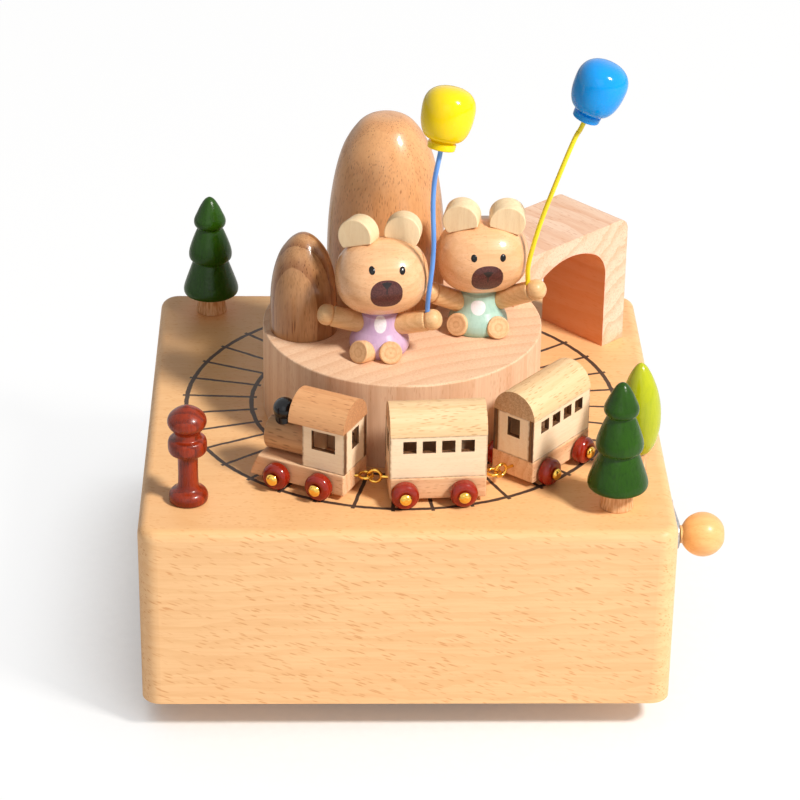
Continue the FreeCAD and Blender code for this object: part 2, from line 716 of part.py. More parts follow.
def leg(start, end, back):
    """A round stick ending in a flat sole."""
    way = Vector(*end) - Vector(*start)
    full = way.Length + back
    edge = scaled(bulge(2, 0, 90, 1), sole_round, sole_round, leg_radius - sole_round, full - sole_round)
    steps = [(0, 0), (leg_radius, 0), (leg_radius, full - sole_round)] + edge + [(0, full)]
    return stick("Leg", steps, Vector(*start), way, back)


def moved(things, x, y, z):
    """Shift things from a bear's own point to where it stands, tied to the sheet."""
    for thing in things:
        base = thing.Placement.Base
        place(thing, x + base.x, y + base.y, z + base.z, thing.Placement.Rotation)
    return things


def ear(head, barrel, side, turn, back):
    """An ear let into the head; turn is the way it looks, back how far behind the head's top it sits."""
    chord = root(ear_radius * ear_radius - ear_flat * ear_flat)
    body = new_body("Ear")
    shape = [(-chord, -ear_flat), (chord, -ear_flat), (0, ear_radius, -chord, -ear_flat)]
    pad(body, draw(body, shape), ear_thickness)
    rounded(body, ear_round, level_at(ear_thickness))
    spread = float(ear_spread / (head_length / 2))
    seat = head_radius * (1 - spread ** head_square) ** (1 / head_square) + ear_flat - ear_sink
    level = about_z(bear_turn).multiply(about_x(-back))
    middle = level.multVec(Vector(side * float(ear_spread), 0, float(seat)))
    facing = about_z(turn).multiply(about_x(-back / 2))
    standing = facing.multiply(about_x(90)).multiply(about_z(-side * float(ear_splay)))
    behind = standing.multVec(Vector(0, 0, -float(ear_thickness) / 2))
    place(body, *(at + shift for at, shift in zip(head, middle + behind)), standing)
    return fitted(body, barrel)


def bear(name, x, y, head_x, ears, arms, legs, hand_bores):
    """Points are in the bear's own frame: middle of the body, on the platform."""
    skirt = [(0.92, 0), (1, 0.13), (0.985, 0.28), (0.9, 0.41), (0.75, 0.56), (0.645, 0.74), (0.6, 0.95)]
    steps = scaled([(0, 0), skirt[0]] + curved(skirt, (1, 1), (0, 1)), bell_radius, bell_height)
    bell = turned("Bell", steps + [(neck_radius, bell_height), (neck_radius, bell_height + neck_peg),
                                   (0, bell_height + neck_peg)])
    place(bell, x, y, platform_top)
    half = head_length / 2
    barrel = turned("Barrel", [(0, -half)] + scaled(bulge(head_square, -90, 90, 9), head_radius, half))
    head = (head_x, y, platform_top + head_lift)
    place(barrel, *head, about_z(bear_turn).multiply(to_right))
    bore = rod(neck_radius + fit, bell_height + neck_peg + fit, Placement())
    place(bore, x, y, platform_top)
    keep(fitted(barrel, bore), f"{name}_head")
    group(f"{name}_ears", [ear(head, barrel, side, *seat) for side, seat in zip((-1, 1), ears)])
    cut_arms = []
    for arm, bore in zip(moved([limb(*ends) for ends in arms], x, y, platform_top), hand_bores):
        cut_arms.append(fitted(arm, *([bell, barrel] if bore is None else [bell, barrel, bore])))
    group(f"{name}_arms", cut_arms)
    keep(bell, f"{name}_body")
    legs = moved([leg(*ends) for ends in legs], x, y, platform_top)
    group(f"{name}_legs", [fitted(each, bell, platform) for each in legs])


neck_height = size("neck_height", 2.05, "balloon necks")
neck_ring = size("neck_ring", 3.15, "balloon necks")
wire_depth = size("wire_depth", 4, "wire in the balloon")
hand_hold = size("hand_hold", 2.5, "wire in the hand")


def balloon(name, neck, tilt, lean, hand, points):
    """A balloon on its bent wire; neck and hand are the ends of the wire's straight runs."""
    turn_of_it = about_x(-lean).multiply(Rotation(Vector(0, 1, 0), tilt))
    widest = neck_height + balloon_length * 0.57
    waist = neck_ring - groove_depth
    lower = scaled(bulge(2.2, 90, 0, 5), balloon_radius - waist, neck_height - widest, waist, widest)
    upper = scaled(bulge(2.45, 0, 90, 5), balloon_radius, neck_height + balloon_length - widest, 0, widest)
    body = turned("Balloon", [
        (wire_radius + fit, 0), (neck_ring - groove_depth, 0),
        (neck_ring - groove_depth * 0.293, groove_depth * 0.293, neck_ring, groove_depth),
        (neck_ring * 1.02, neck_height * 0.7), (waist, neck_height)] + lower + upper +
        [(0, wire_depth), (wire_radius + fit, wire_depth)])
    keep(place(body, *neck, turn_of_it), f"{name}_balloon")
    axis = turn_of_it.multVec(Vector(0, 0, 1))
    start = Vector(*map(float, hand))
    end = Vector(*map(float, neck))
    path = Part.BSplineCurve()
    path.interpolate(Points=[start] + [Vector(*point) for point in points] + [end],
                     InitialTangent=Vector(0, 0, 1), FinalTangent=axis)
    inside = end + axis * (float(wire_depth) - 0.1)
    below = start - Vector(0, 0, float(hand_hold))
    spine = Part.Wire([Part.LineSegment(below, start).toShape(), path.toShape(),
                       Part.LineSegment(end, inside).toShape()])
    ring = Part.Wire([Part.Circle(below, Vector(0, 0, 1), float(wire_radius)).toShape()])
    wire = doc.addObject("Part::Feature", "Wire")
    wire.Shape = spine.makePipeShell([ring], True, False)
    keep(wire, f"{name}_wire")
    return rod(wire_radius + fit, float(hand_hold) * 3, Placement(below - Vector(0, 0, 0.1), Rotation()))


yellow_route = [(4.9, -16.3, 81), (5.5, -16.5, 87.1), (5.9, -16.5, 94.8), (5.6, -16.5, 104.7),
                (5.8, -16.5, 110)]
blue_route = [(28.1, -6, 83), (29, -6, 88.7), (31.1, -6, 96.8), (33.7, -6, 104.8), (36.4, -6, 112.7),
              (38.2, -6, 117.3)]
yellow_bore = balloon("yellow", (7.1, -16.5, 117.9), 10.3, 12, (4.8, -15.7, 77.3), yellow_route)
blue_bore = balloon("blue", (39.8, -6, 120.8), 20.5, 0, (28.2, -5.8, 80.1), blue_route)

# Ears: the way each looks and how far back it leans. Arms and legs: start, end, and what is inside the body.
lilac_ears = [(-25, 10), (-8, 14)]
lilac_arms = [((-5.2, -0.3, 6.8), (-14.25, -1, 9.45), 4.5), ((4.6, -1, 6.5), (13.9, -4.8, 9.85), 4.3)]
lilac_legs = [((-3.2, -5.4, 1.6), (-5, -7.55, 2.6), 2.4), ((2.3, -5.6, 1.5), (2.5, -7.8, 2.55), 2.4)]
mint_ears = [(-12, -4), (-2, -12)]
mint_arms = [((-4.85, -0.8, 6.8), (-13.3, -3.5, 11.15), 4), ((6.1, -0.9, 7.75), (14.6, -6.8, 13.2), 5)]
mint_legs = [((-3.8, -3, 1.9), (-5.3, -5.5, 3), 2), ((4, -4.6, 1.8), (4.55, -6.5, 2.7), 2)]
bear("lilac_bear", lilac_x, lilac_y, lilac_x + lilac_head_shift, lilac_ears, lilac_arms, lilac_legs,
     [None, yellow_bore])
bear("mint_bear", mint_x, mint_y, mint_x + mint_head_shift, mint_ears, mint_arms, mint_legs,
     [None, blue_bore])

# Train: every car is drawn about its own middle on the deck, +X forward, then set on the ring
edge_round = size("edge_round", 0.4, "rounded edges of the chassis")
nose = size("nose", 2.2, "slant of the locomotive's nose")
end_window = size("end_window", 3.4, "windows in the end walls")
end_sill = size("end_sill", 11.5, "end and cab window sills above the deck")
end_window_height = size("end_window_height", 4.7, "end and cab windows")
cab_length = size("cab_length", 10.45, "cab")
cab_window = size("cab_window", 5.9, "cab side windows")
cab_roof_length = size("cab_roof_length", 13.9, "cab roof")
boiler_length = size("boiler_length", 10.9, "boiler")
boiler_flat = size("boiler_flat", 0.15, "flat under the boiler")
chimney_x = size("chimney_x", 5.85, "chimney before the locomotive's middle")
chimney_neck = size("chimney_neck", 2.15, "neck of the chimney")
chimney_rise = size("chimney_rise", 2.4, "chimney ball above the boiler")
chimney_peg = size("chimney_peg", 0.8, "peg of the chimney")
eye_radius = size("eye_radius", 1.5, "screw eyes, middle of the wire")
eye_wire = size("eye_wire", 0.35, "screw eyes, wire radius")
eye_height = size("eye_height", 4, "screw eyes above the deck")
eye_depth = size("eye_depth", 3, "screw eyes in the chassis")
eye_half_link = size("eye_half_link", 1, "eye's middle from the middle of a coupling")
link_1_radius = size("link_1_radius", 43.56, "coupling behind the locomotive, from the ring's middle")
link_1_angle = size("link_1_angle", -100.5, "coupling behind the locomotive, round the ring")
link_2_radius = size("link_2_radius", 45.75, "coupling between the coaches, from the ring's middle")
link_2_angle = size("link_2_angle", -63.1, "coupling between the coaches, round the ring")
wheel_lift = size("wheel_lift", 0.1, "wheels above the deck")
wheel_round = size("wheel_round", 1.3, "rounded outer wheel rims")
wheel_back_round = size("wheel_back_round", 0.6, "rounded inner wheel rims")
half_width = chassis_width / 2
wall_foot = chassis_base + chassis_height
wall_height = wall_top - wall_foot
axle_z = wheel_radius + wheel_lift


def car_place(angle, yaw):
    return polar(track_radius, angle) + (angle - 90 + yaw,)


def carried(thing, car):
    """Set a thing made in a car's own frame on the ring."""
    x, y, heading = car
    spin = about_z(heading)
    base = spin.multVec(thing.Placement.Base)
    turned_with_it = spin.multiply(thing.Placement.Rotation)
    return place(thing, x + base.x, y + base.y, deck + thing.Placement.Base.z, turned_with_it)


def in_car(car, x, y):
    """Where a point of the deck is in a car's own frame."""
    offset = Vector(float(x) - float(car[0]), float(y) - float(car[1]), 0)
    return about_z(-float(car[2])).multVec(offset)


def nail(x, side):
    shank = nail_depth + wheel_gap * 2 + wheel_thickness
    top = shank + nail_head_height
    body = turned("Nail", [(0, 0), (nail_radius, 0), (nail_radius, shank), (nail_head_radius, shank),
                           (nail_head_radius, shank + nail_head_height * 0.3),
                           (nail_head_radius * 0.72, shank + nail_head_height * 0.82, 0, top)])
    return place(body, x, side * (half_width - nail_depth), axle_z, about_x(-90 * side))


def wheel(x, side):
    bore = nail_radius + wheel_play
    back = scaled(bulge(2, -90, 0, 1), wheel_back_round, wheel_back_round, wheel_radius - wheel_back_round,
                  wheel_back_round)
    front = scaled(bulge(2, 0, 90, 2), wheel_round, wheel_round, wheel_radius - wheel_round,
                   wheel_thickness - wheel_round)
    body = turned("Wheel", [(bore, 0), (wheel_radius - wheel_back_round, 0)] + back +
                  [(wheel_radius, wheel_thickness - wheel_round)] + front + [(bore, wheel_thickness)])
    return place(body, x, side * (half_width + wheel_gap), axle_z, about_x(-90 * side))


def screw_eye(car, face_x, link_radius, link_angle, side, standing):
    """An eye whose ring hangs in its neighbour's; side tells which half of the coupling it is."""
    x, y = polar(link_radius, link_angle)
    tangent = about_z(float(link_angle) + 90).multVec(Vector(side * float(eye_half_link), 0, 0))
    middle = in_car(car, float(x) + tangent.x, float(y) + tangent.y)
    face = Vector(float(face_x), 0, 0)
    way = (middle - face).normalize()
    height = Vector(0, 0, float(eye_height))
    start = face - way * float(eye_depth) + height
    length = (middle - face).Length + float(eye_depth) - float(eye_radius)
    ring = doc.addObject("Part::Torus", "Ring")
    bind(ring, "Radius1", eye_radius)
    bind(ring, "Radius2", eye_wire)
    axis = way.cross(Vector(0, 0, 1)) if standing else Vector(0, 0, 1)
    ring.Placement = Placement(middle + height, Rotation(Vector(0, 0, 1), axis))
    eye = joined(ring, rod(eye_wire, length, along(start, way)))
    return eye, rod(eye_wire + fit, eye_depth * 2, along(start - way * float(fit), way))


def panel(name, steps, windows, role, lift):
    body = new_body(name)
    pad(body, draw(body, steps, *windows, role=role, lift=lift), wall_thickness)
    return body


def box_walls(back, length, side_windows, end_windows):
    """Two side panels and two end panels between them; windows are given above the deck."""
    front = back + length
    inner = wall_width - wall_thickness * 2
    outline_of_side = [(back, wall_foot), (front, wall_foot), (front, wall_top), (back, wall_top)]
    outline_of_end = rectangle(0, wall_foot + wall_height / 2, inner, wall_height)
    return [panel("Side", outline_of_side, side_windows, "XZ_Plane", -wall_width / 2),
            panel("Side", outline_of_side, side_windows, "XZ_Plane", wall_width / 2 - wall_thickness),
            panel("End", outline_of_end, end_windows[0], "YZ_Plane", back),
            panel("End", outline_of_end, end_windows[1], "YZ_Plane", front - wall_thickness)]


def half_round(name, radius, back, length):
    body = new_body(name)
    sketch = draw(body, [(-radius, 0), (radius, 0), (0, radius, -radius, 0)], role="YZ_Plane", lift=back)
    pad(body, sketch, length)
    return place(body, 0, 0, wall_top)


def axle_bores(body, axles):
    places = [(x, axle_z - chassis_base) for x in axles]
    pocket(body, circles(body, nail_radius + fit, places, "XZ_Plane", half_width), nail_depth + fit)
    pocket(body, circles(body, nail_radius + fit, places, "XZ_Plane", -half_width), nail_depth + fit, True)


def running_gear(name, car, axles, eyes):
    fasteners = [nail(x, side) for x in axles for side in (-1, 1)] + eyes
    group(f"{name}_fasteners", [carried(thing, car) for thing in fasteners])
    for end, x in zip(("front", "rear"), axles):
        group(f"{name}_{end}_wheels", [carried(wheel(x, side), car) for side in (-1, 1)])


end_opening = [rectangle(0, end_sill + end_window_height / 2, end_window, end_window_height)]


def coach(name, car, shift, hitches):
    axles = (shift + wheel_base / 2, shift - wheel_base / 2)
    body = new_body("Chassis")
    pad(body, draw(body, rectangle(0, 0, car_length, chassis_width)), chassis_height)
    rounded(body, edge_round, lambda edge: True)
    axle_bores(body, axles)
    place(body, 0, 0, chassis_base)
    eyes, bores = zip(*[screw_eye(car, *hitch) for hitch in hitches])
    keep(carried(fitted(body, *bores), car), f"{name}_chassis")
    middle = (window_rows - 1) / 2
    window_z = window_sill + window_side / 2
    side_windows = [rectangle(window_pitch * (i - middle), window_z, window_side, window_side)
                    for i in range(window_rows)]
    walls = box_walls(-car_length / 2, car_length, side_windows, (end_opening, end_opening))
    group(f"{name}_walls", [carried(wall, car) for wall in walls])
    keep(carried(half_round("Roof", coach_roof_radius, -car_length / 2, car_length), car), f"{name}_roof")
    running_gear(name, car, axles, list(eyes))


loco_car = car_place(loco_angle, loco_yaw)
coach_1_car = car_place(coach_1_angle, coach_1_yaw)
coach_2_car = car_place(coach_2_angle, coach_2_yaw)

loco_back = -loco_length / 2
loco_shift = size("loco_shift", -1.1, "locomotive's axles before its middle")
loco_axles = (loco_shift + loco_wheel_base / 2, loco_shift - loco_wheel_base / 2)
loco_chassis = new_body("Chassis")
side_view = draw(loco_chassis, [(loco_back, 0), (-loco_back, 0), (-loco_back - nose, chassis_height),
                                (loco_back, chassis_height)], role="XZ_Plane", lift=-half_width)
pad(loco_chassis, side_view, chassis_width)
rounded(loco_chassis, edge_round, lambda edge: True)
axle_bores(loco_chassis, loco_axles)
pocket(loco_chassis, circles(loco_chassis, magnet_radius + fit), magnet_height + fit, True)
place(loco_chassis, 0, 0, chassis_base)
loco_eye, loco_eye_bore = screw_eye(loco_car, loco_back, link_1_radius, link_1_angle, -1, False)
keep(carried(fitted(loco_chassis, loco_eye_bore), loco_car), "loco_chassis")
cab_middle = loco_back + cab_length / 2
cab_windows = [rectangle(cab_middle, end_sill + end_window_height / 2, cab_window, end_window_height)]
cab_walls = box_walls(loco_back, cab_length, cab_windows, (end_opening, []))
group("loco_cab", [carried(wall, loco_car) for wall in cab_walls])
keep(carried(half_round("Roof", cab_roof_radius, loco_back, cab_roof_length), loco_car), "loco_roof")

boiler_axis = boiler_radius - boiler_flat
boiler = turned("Boiler", [(0, 0), (boiler_radius, 0), (boiler_radius, boiler_length - edge_round),
                           (boiler_radius - edge_round * 0.293, boiler_length - edge_round * 0.293,
                            boiler_radius - edge_round, boiler_length), (0, boiler_length)])
flat = rectangle(boiler_axis + boiler_flat, 0, boiler_flat * 2, boiler_radius * 2)
pocket(boiler, draw(boiler, flat), boiler_length, True)
place(boiler, loco_back + cab_length, 0, wall_foot + boiler_axis, to_right)
boiler_top = wall_foot + boiler_axis + boiler_radius
peg_foot = boiler_top - chimney_peg * 3
peg_bore = place(rod(chimney_peg + fit, chimney_peg * 4, Placement()), chimney_x, 0, peg_foot - fit)
keep(carried(fitted(boiler, peg_bore), loco_car), "loco_boiler")
ball_middle = chimney_peg * 3 + chimney_rise
ball_foot = ball_middle - root(chimney_radius * chimney_radius - chimney_neck * chimney_neck)
ball_start = -math.degrees(math.acos(float(chimney_neck / chimney_radius)))
neck_foot = chimney_peg * 3 - boiler_radius + root(boiler_radius * boiler_radius - chimney_neck * chimney_neck)
chimney = turned("Chimney", [(0, 0), (chimney_peg, 0), (chimney_peg, neck_foot), (chimney_neck, neck_foot),
                             (chimney_neck, ball_foot)] +
                 scaled(bulge(2, ball_start, 90, 6), chimney_radius, chimney_radius, 0, ball_middle))
place(chimney, chimney_x, 0, peg_foot)
keep(carried(fitted(chimney, fitted(boiler, peg_bore)), loco_car), "loco_chimney")
disc = [(0, 0), (magnet_radius, 0), (magnet_radius, magnet_height), (0, magnet_height)]
keep(carried(place(turned("Magnet", disc), 0, 0, chassis_base), loco_car), "loco_magnet")
running_gear("loco", loco_car, loco_axles, [loco_eye])

coach_shift = size("coach_shift", 1, "coach 1's axles before its middle")
half_car = car_length / 2
coach("coach_1", coach_1_car, coach_shift, [(half_car, link_1_radius, link_1_angle, 1, True),
                                            (-half_car, link_2_radius, link_2_angle, -1, False)])
coach("coach_2", coach_2_car, 0, [(half_car, link_2_radius, link_2_angle, 1, True)])

# Crank: shaft with its worms, arm, and knob turning on its pin
to_back = about_x(-90)
hub_head = size("hub_head", 2.6, "riveted end of the crank shaft")
hub_head_height = size("hub_head_height", 0.9, "riveted end of the crank shaft")
collar_radius = size("collar_radius", 3.2, "collars")
collar_width = size("collar_width", 1.5, "collars")
end_gap = size("end_gap", 0.3, "between turning pieces and what stands still")
post_width = size("post_width", 6, "bearing posts")
post_thickness = size("post_thickness", 2.4, "bearing posts")
bearing_x = size("bearing_x", -18, "left bearing of the crank shaft")
arm_inside = base_width / 2 + crank_gap
arm_outside = arm_inside + crank_thickness
thread_start = tooth_pitch * (worm_turns / 2)


def worm(body, middle):
    """A left-handed thread; middle is where it is centred on the shaft's own -Z side."""
    def half(radius):
        return thread_width / 2 + (worm_pitch_radius - radius) * flank

    inner = shaft_radius * 0.85
    outer = worm_pitch_radius + tooth_height
    foot_z = middle - thread_start
    profile = draw(body, [(inner, foot_z - half(inner)), (outer, foot_z - half(outer)),
                          (outer, foot_z + half(outer)), (inner, foot_z + half(inner))], role="XZ_Plane")
    thread = body.newObject("PartDesign::AdditiveHelix", "Thread")
    thread.Profile = profile
    thread.ReferenceAxis = (profile, ["V_Axis"])
    thread.Mode = 1
    bind(thread, "Pitch", tooth_pitch)
    thread.Turns = worm_turns
    thread.LeftHanded = True
    return thread


collar_back = bush_inside - end_gap - collar_width
collar_front = bush_inside - end_gap
shaft = turned("Shaft", [(0, bearing_x), (shaft_radius, bearing_x), (shaft_radius, collar_back),
                         (collar_radius, collar_back), (collar_radius, collar_front),
                         (shaft_radius, collar_front), (shaft_radius, arm_outside), (hub_head, arm_outside),
                         (hub_head, arm_outside + hub_head_height * 0.5), (0, arm_outside + hub_head_height)])
worm(shaft, cylinder_x)
worm(shaft, ring_x + tooth_pitch / 4)
keep(place(shaft, 0, shaft_y, shaft_height, to_right), "crank_shaft")

half_arm = crank_width / 2
crank_arm = new_body("Arm")
pad(crank_arm, draw(crank_arm, [
    (0, -half_arm), (crank_radius, -half_arm), (crank_radius + half_arm, 0, crank_radius, half_arm),
    (0, half_arm), (-half_arm, 0, 0, -half_arm)]), crank_thickness)
rounded(crank_arm, edge_round, level_at(crank_thickness))
pocket(crank_arm, circles(crank_arm, shaft_radius + fit), crank_thickness, True)
pocket(crank_arm, circles(crank_arm, knob_pin_radius + fit, [(crank_radius, 0)]), crank_thickness, True)
arm_turn = about_x(float(crank_angle) + 90).multiply(to_right)
keep(place(crank_arm, arm_inside, shaft_y, shaft_height, arm_turn), "crank_arm")

knob_y = shaft_y + crank_radius * cosine(crank_angle)
knob_z = shaft_height + crank_radius * sine(crank_angle)
knob_bore = knob_pin_radius + shaft_play
pin_head = knob_pin_radius * 1.8
ball = knob_neck - end_gap
recess = pin_head + end_gap
knob_step = ball + knob_radius * 0.78
knob = turned("Knob", [
    (knob_bore, 0), (knob_neck_radius, 0),
    (knob_neck_radius, ball - root(knob_radius * knob_radius - knob_neck_radius * knob_neck_radius)),
    (knob_radius, ball, recess, ball + root(knob_radius * knob_radius - recess * recess)),
    (recess, knob_step), (knob_bore, knob_step)])
keep(place(knob, arm_outside + end_gap, knob_y, knob_z, to_right), "knob")
pin_shoulder = crank_thickness + end_gap + knob_step + wheel_play
knob_pin = turned("KnobPin", [
    (0, 0), (knob_pin_radius, 0), (knob_pin_radius, pin_shoulder), (pin_head, pin_shoulder),
    (pin_head, pin_shoulder + end_gap),
    (pin_head * 0.6, pin_shoulder + end_gap * 2.2, 0, pin_shoulder + end_gap * 2.6)])
keep(place(knob_pin, arm_inside, knob_y, knob_z, to_right), "knob_pin")

# Works: spindle and magnet arm, pin cylinder, comb and their bed


def worm_wheel(name, teeth, pitch_radius, bore):
    """A wheel with straight teeth, one gap at its own -Y side."""
    def half(radius):
        return tooth_width / 2 + (pitch_radius - radius) * flank

    rim = pitch_radius - tooth_root
    tip = pitch_radius + tooth_height
    inside = rim * 0.9
    body = new_body(name)
    pad(body, circles(body, rim), wheel_width)
    tooth = pad(body, draw(body, [
        (inside, -half(rim)), (rim, -half(rim)), (tip, -half(tip)), (tip, half(tip)), (rim, half(rim)),
        (inside, half(rim))]), wheel_width)
    doc.recompute()
    pattern = body.newObject("PartDesign::PolarPattern", "Teeth")
    pattern.Originals = [tooth]
    pattern.Axis = (next(item for item in body.Origin.OriginFeatures if item.Role == "Z_Axis"), [""])
    pattern.Angle = 360
    body.Tip = pattern
    pattern.Occurrences = teeth
    pocket(body, circles(body, bore + fit), wheel_width, True)
    return body, about_z(-90 + 180 / teeth)


spindle_wheel, gap_turn = worm_wheel("SpindleWheel", spindle_teeth, spindle_pitch_radius, spindle_radius)
wheel_foot = shaft_height - wheel_width / 2
keep(place(spindle_wheel, ring_x, ring_y, wheel_foot, gap_turn), "spindle_wheel")
magnet_z = cavity_top - magnet_clearance - magnet_height
magnet_step = size("magnet_step", 1, "magnet sunk in its arm")
hub_height = size("hub_height", 4, "hub under the magnet arm")
arm_top = magnet_z + magnet_step
hub_foot = arm_top - arm_thickness - hub_height
low = plate_thickness - bore_depth + fit
high = cavity_top + bore_depth - fit
spindle = turned("Spindle", [(0, low), (spindle_radius, low), (spindle_radius, wheel_foot - collar_width),
                             (collar_radius, wheel_foot - collar_width), (collar_radius, wheel_foot),
                             (spindle_radius, wheel_foot), (spindle_radius, hub_foot - collar_width),
                             (collar_radius, hub_foot - collar_width), (collar_radius, hub_foot),
                             (spindle_radius, hub_foot), (spindle_radius, high), (0, high)])
keep(place(spindle, ring_x, ring_y), "spindle")

half_bar = arm_width / 2
magnet_arm = new_body("MagnetArm")
bar = draw(magnet_arm, [
    (0, -half_bar), (track_radius, -half_bar), (track_radius + half_bar, 0, track_radius, half_bar),
    (0, half_bar), (-half_bar, 0, 0, -half_bar)], lift=hub_height)
pad(magnet_arm, circles(magnet_arm, half_bar), hub_height)
pad(magnet_arm, bar, arm_thickness)
pocket(magnet_arm, circles(magnet_arm, spindle_radius + fit), hub_height + arm_thickness, True)
magnet_seat = circles(magnet_arm, magnet_radius + fit, [(track_radius, 0)], lift=hub_height + arm_thickness)
pocket(magnet_arm, magnet_seat, magnet_step)
keep(place(magnet_arm, ring_x, ring_y, hub_foot, about_z(loco_angle)), "magnet_arm")
keep(place(turned("Magnet", disc), *polar(track_radius, loco_angle), magnet_z), "arm_magnet")

cylinder_back = shaft_y - wheel_width / 2 - end_gap * 4
cylinder_front = cylinder_back - cylinder_length
back_post = shaft_y + wheel_width / 2 + end_gap * 4
front_post = cylinder_front - end_gap - post_thickness
drum = turned("Drum", [(0, front_post), (arbor_radius, front_post), (arbor_radius, cylinder_front),
                       (cylinder_radius, cylinder_front), (cylinder_radius, cylinder_back),
                       (arbor_radius * 1.6, cylinder_back), (arbor_radius * 1.6, shaft_y - wheel_width / 2),
                       (arbor_radius, shaft_y - wheel_width / 2), (arbor_radius, back_post + post_thickness),
                       (0, back_post + post_thickness)])
comb_front = cylinder_front + (cylinder_length - comb_pitch * comb_teeth) / 2
pins = []
for tooth in range(comb_teeth):
    for note in range(3):
        angle = (tooth * 137.5 + note * 97 + 31) % 360
        row = comb_front + comb_pitch * (tooth + 0.5)
        inward = Vector(math.cos(math.radians(angle)), math.sin(math.radians(angle)), 0)
        start = inward * (float(cylinder_radius) - 1) + Vector(0, 0, float(row))
        pins.append(rod(pin_radius, pin_height + 1, along(start, inward)))
keep(place(joined(drum, *pins), cylinder_x, 0, cylinder_z, to_back), "cylinder")
cylinder_wheel, gap_turn = worm_wheel("CylinderWheel", cylinder_teeth, cylinder_pitch_radius, arbor_radius)
place(cylinder_wheel, cylinder_x, shaft_y - wheel_width / 2, cylinder_z, to_back.multiply(gap_turn))
keep(cylinder_wheel, "cylinder_wheel")

comb_back_x = size("comb_back_x", -12, "back edge of the comb")
comb_seat = size("comb_seat", 7, "comb on its ledge")
slot_gap = size("slot_gap", 0.3, "slots between comb teeth")
comb_tip = cylinder_x - cylinder_radius - pin_height - pin_gap
comb_z = cylinder_z - comb_thickness / 2
comb_width = comb_pitch * comb_teeth
comb_middle = comb_front + comb_width / 2
comb = new_body("Comb")
pad(comb, draw(comb, [(comb_back_x, comb_front), (comb_tip, comb_front), (comb_tip, comb_front + comb_width),
                      (comb_back_x, comb_front + comb_width)]), comb_thickness)
slots = []
for tooth in range(1, comb_teeth):
    slot = comb_front + comb_pitch * tooth
    end = comb_tip - comb_tooth_length * (1 - tooth / comb_teeth * 0.35)
    near, far = slot - slot_gap / 2, slot + slot_gap / 2
    slots.append([(end, near), (comb_tip + 1, near), (comb_tip + 1, far), (end, far)])
pocket(comb, draw(comb, *slots), comb_thickness, True)
screw_spots = [(comb_back_x + comb_seat / 2, comb_middle + side * comb_width / 3) for side in (-1, 1)]
pocket(comb, circles(comb, screw_radius + fit, screw_spots), comb_thickness, True)
keep(place(comb, 0, 0, comb_z), "comb")
comb_screw_top = comb_z + comb_thickness + screw_head_height
upside_down = about_x(180)
group("comb_screws", [wood_screw(x, y, comb_screw_top, upside_down) for x, y in screw_spots])

bed_right = size("bed_right", 22, "right edge of the movement bed")
bed_left = size("bed_left", -20, "left edge of the movement bed")
bed_top = plate_thickness + bed_thickness
bearing_thickness = size("bearing_thickness", 4, "left bearing post")
bed = new_body("Bed")
bed_back = back_post + post_thickness + 1
bed_plan = [(bed_left, front_post), (bed_right, front_post), (bed_right, bed_back), (bed_left, bed_back)]
pad(bed, draw(bed, bed_plan, lift=plate_thickness), bed_thickness)
arbor_posts = [rectangle(cylinder_x, y + post_thickness / 2, post_width, post_thickness)
               for y in (front_post, back_post)]
pad(bed, draw(bed, *arbor_posts, lift=bed_top), cylinder_z + post_width / 2 - bed_top)
bearing_post = rectangle(bearing_x + bearing_thickness / 2, shaft_y, bearing_thickness, post_width)
pad(bed, draw(bed, bearing_post, lift=bed_top), shaft_height + post_width / 2 - bed_top)
ledge = rectangle(comb_back_x + comb_seat / 2, comb_middle, comb_seat, comb_width)
pad(bed, draw(bed, ledge, lift=bed_top), comb_z - bed_top)
arbor_holes = circles(bed, arbor_radius + shaft_play, [(cylinder_x, cylinder_z)], "XZ_Plane", -bed_back)
pocket(bed, arbor_holes, bed_back - front_post, True)
bearing_face = bearing_x + bearing_thickness
shaft_hole = circles(bed, shaft_radius + shaft_play, [(shaft_y, shaft_height)], "YZ_Plane", bearing_face)
pocket(bed, shaft_hole, bearing_thickness)
pocket(bed, circles(bed, screw_radius + fit, screw_spots, lift=comb_z), screw_length - screw_head_height)
keep(bed, "movement_bed")

doc.recompute()
for item in doc.Objects:
    if "Invalid" in item.State or "Error" in item.State:
        raise ValueError(f"{item.Name} {item.Label} is {item.State}")
for thing in solids:
    if thing.Shape.isNull() or not thing.Shape.isValid() or not thing.Shape.Solids:
        raise ValueError(f"{thing.Label} has no sound shape")
os.makedirs("parts", exist_ok=True)
for thing in solids:
    thing.Shape.exportStep(f"parts/{thing.Label}.step")
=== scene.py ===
import json
import math

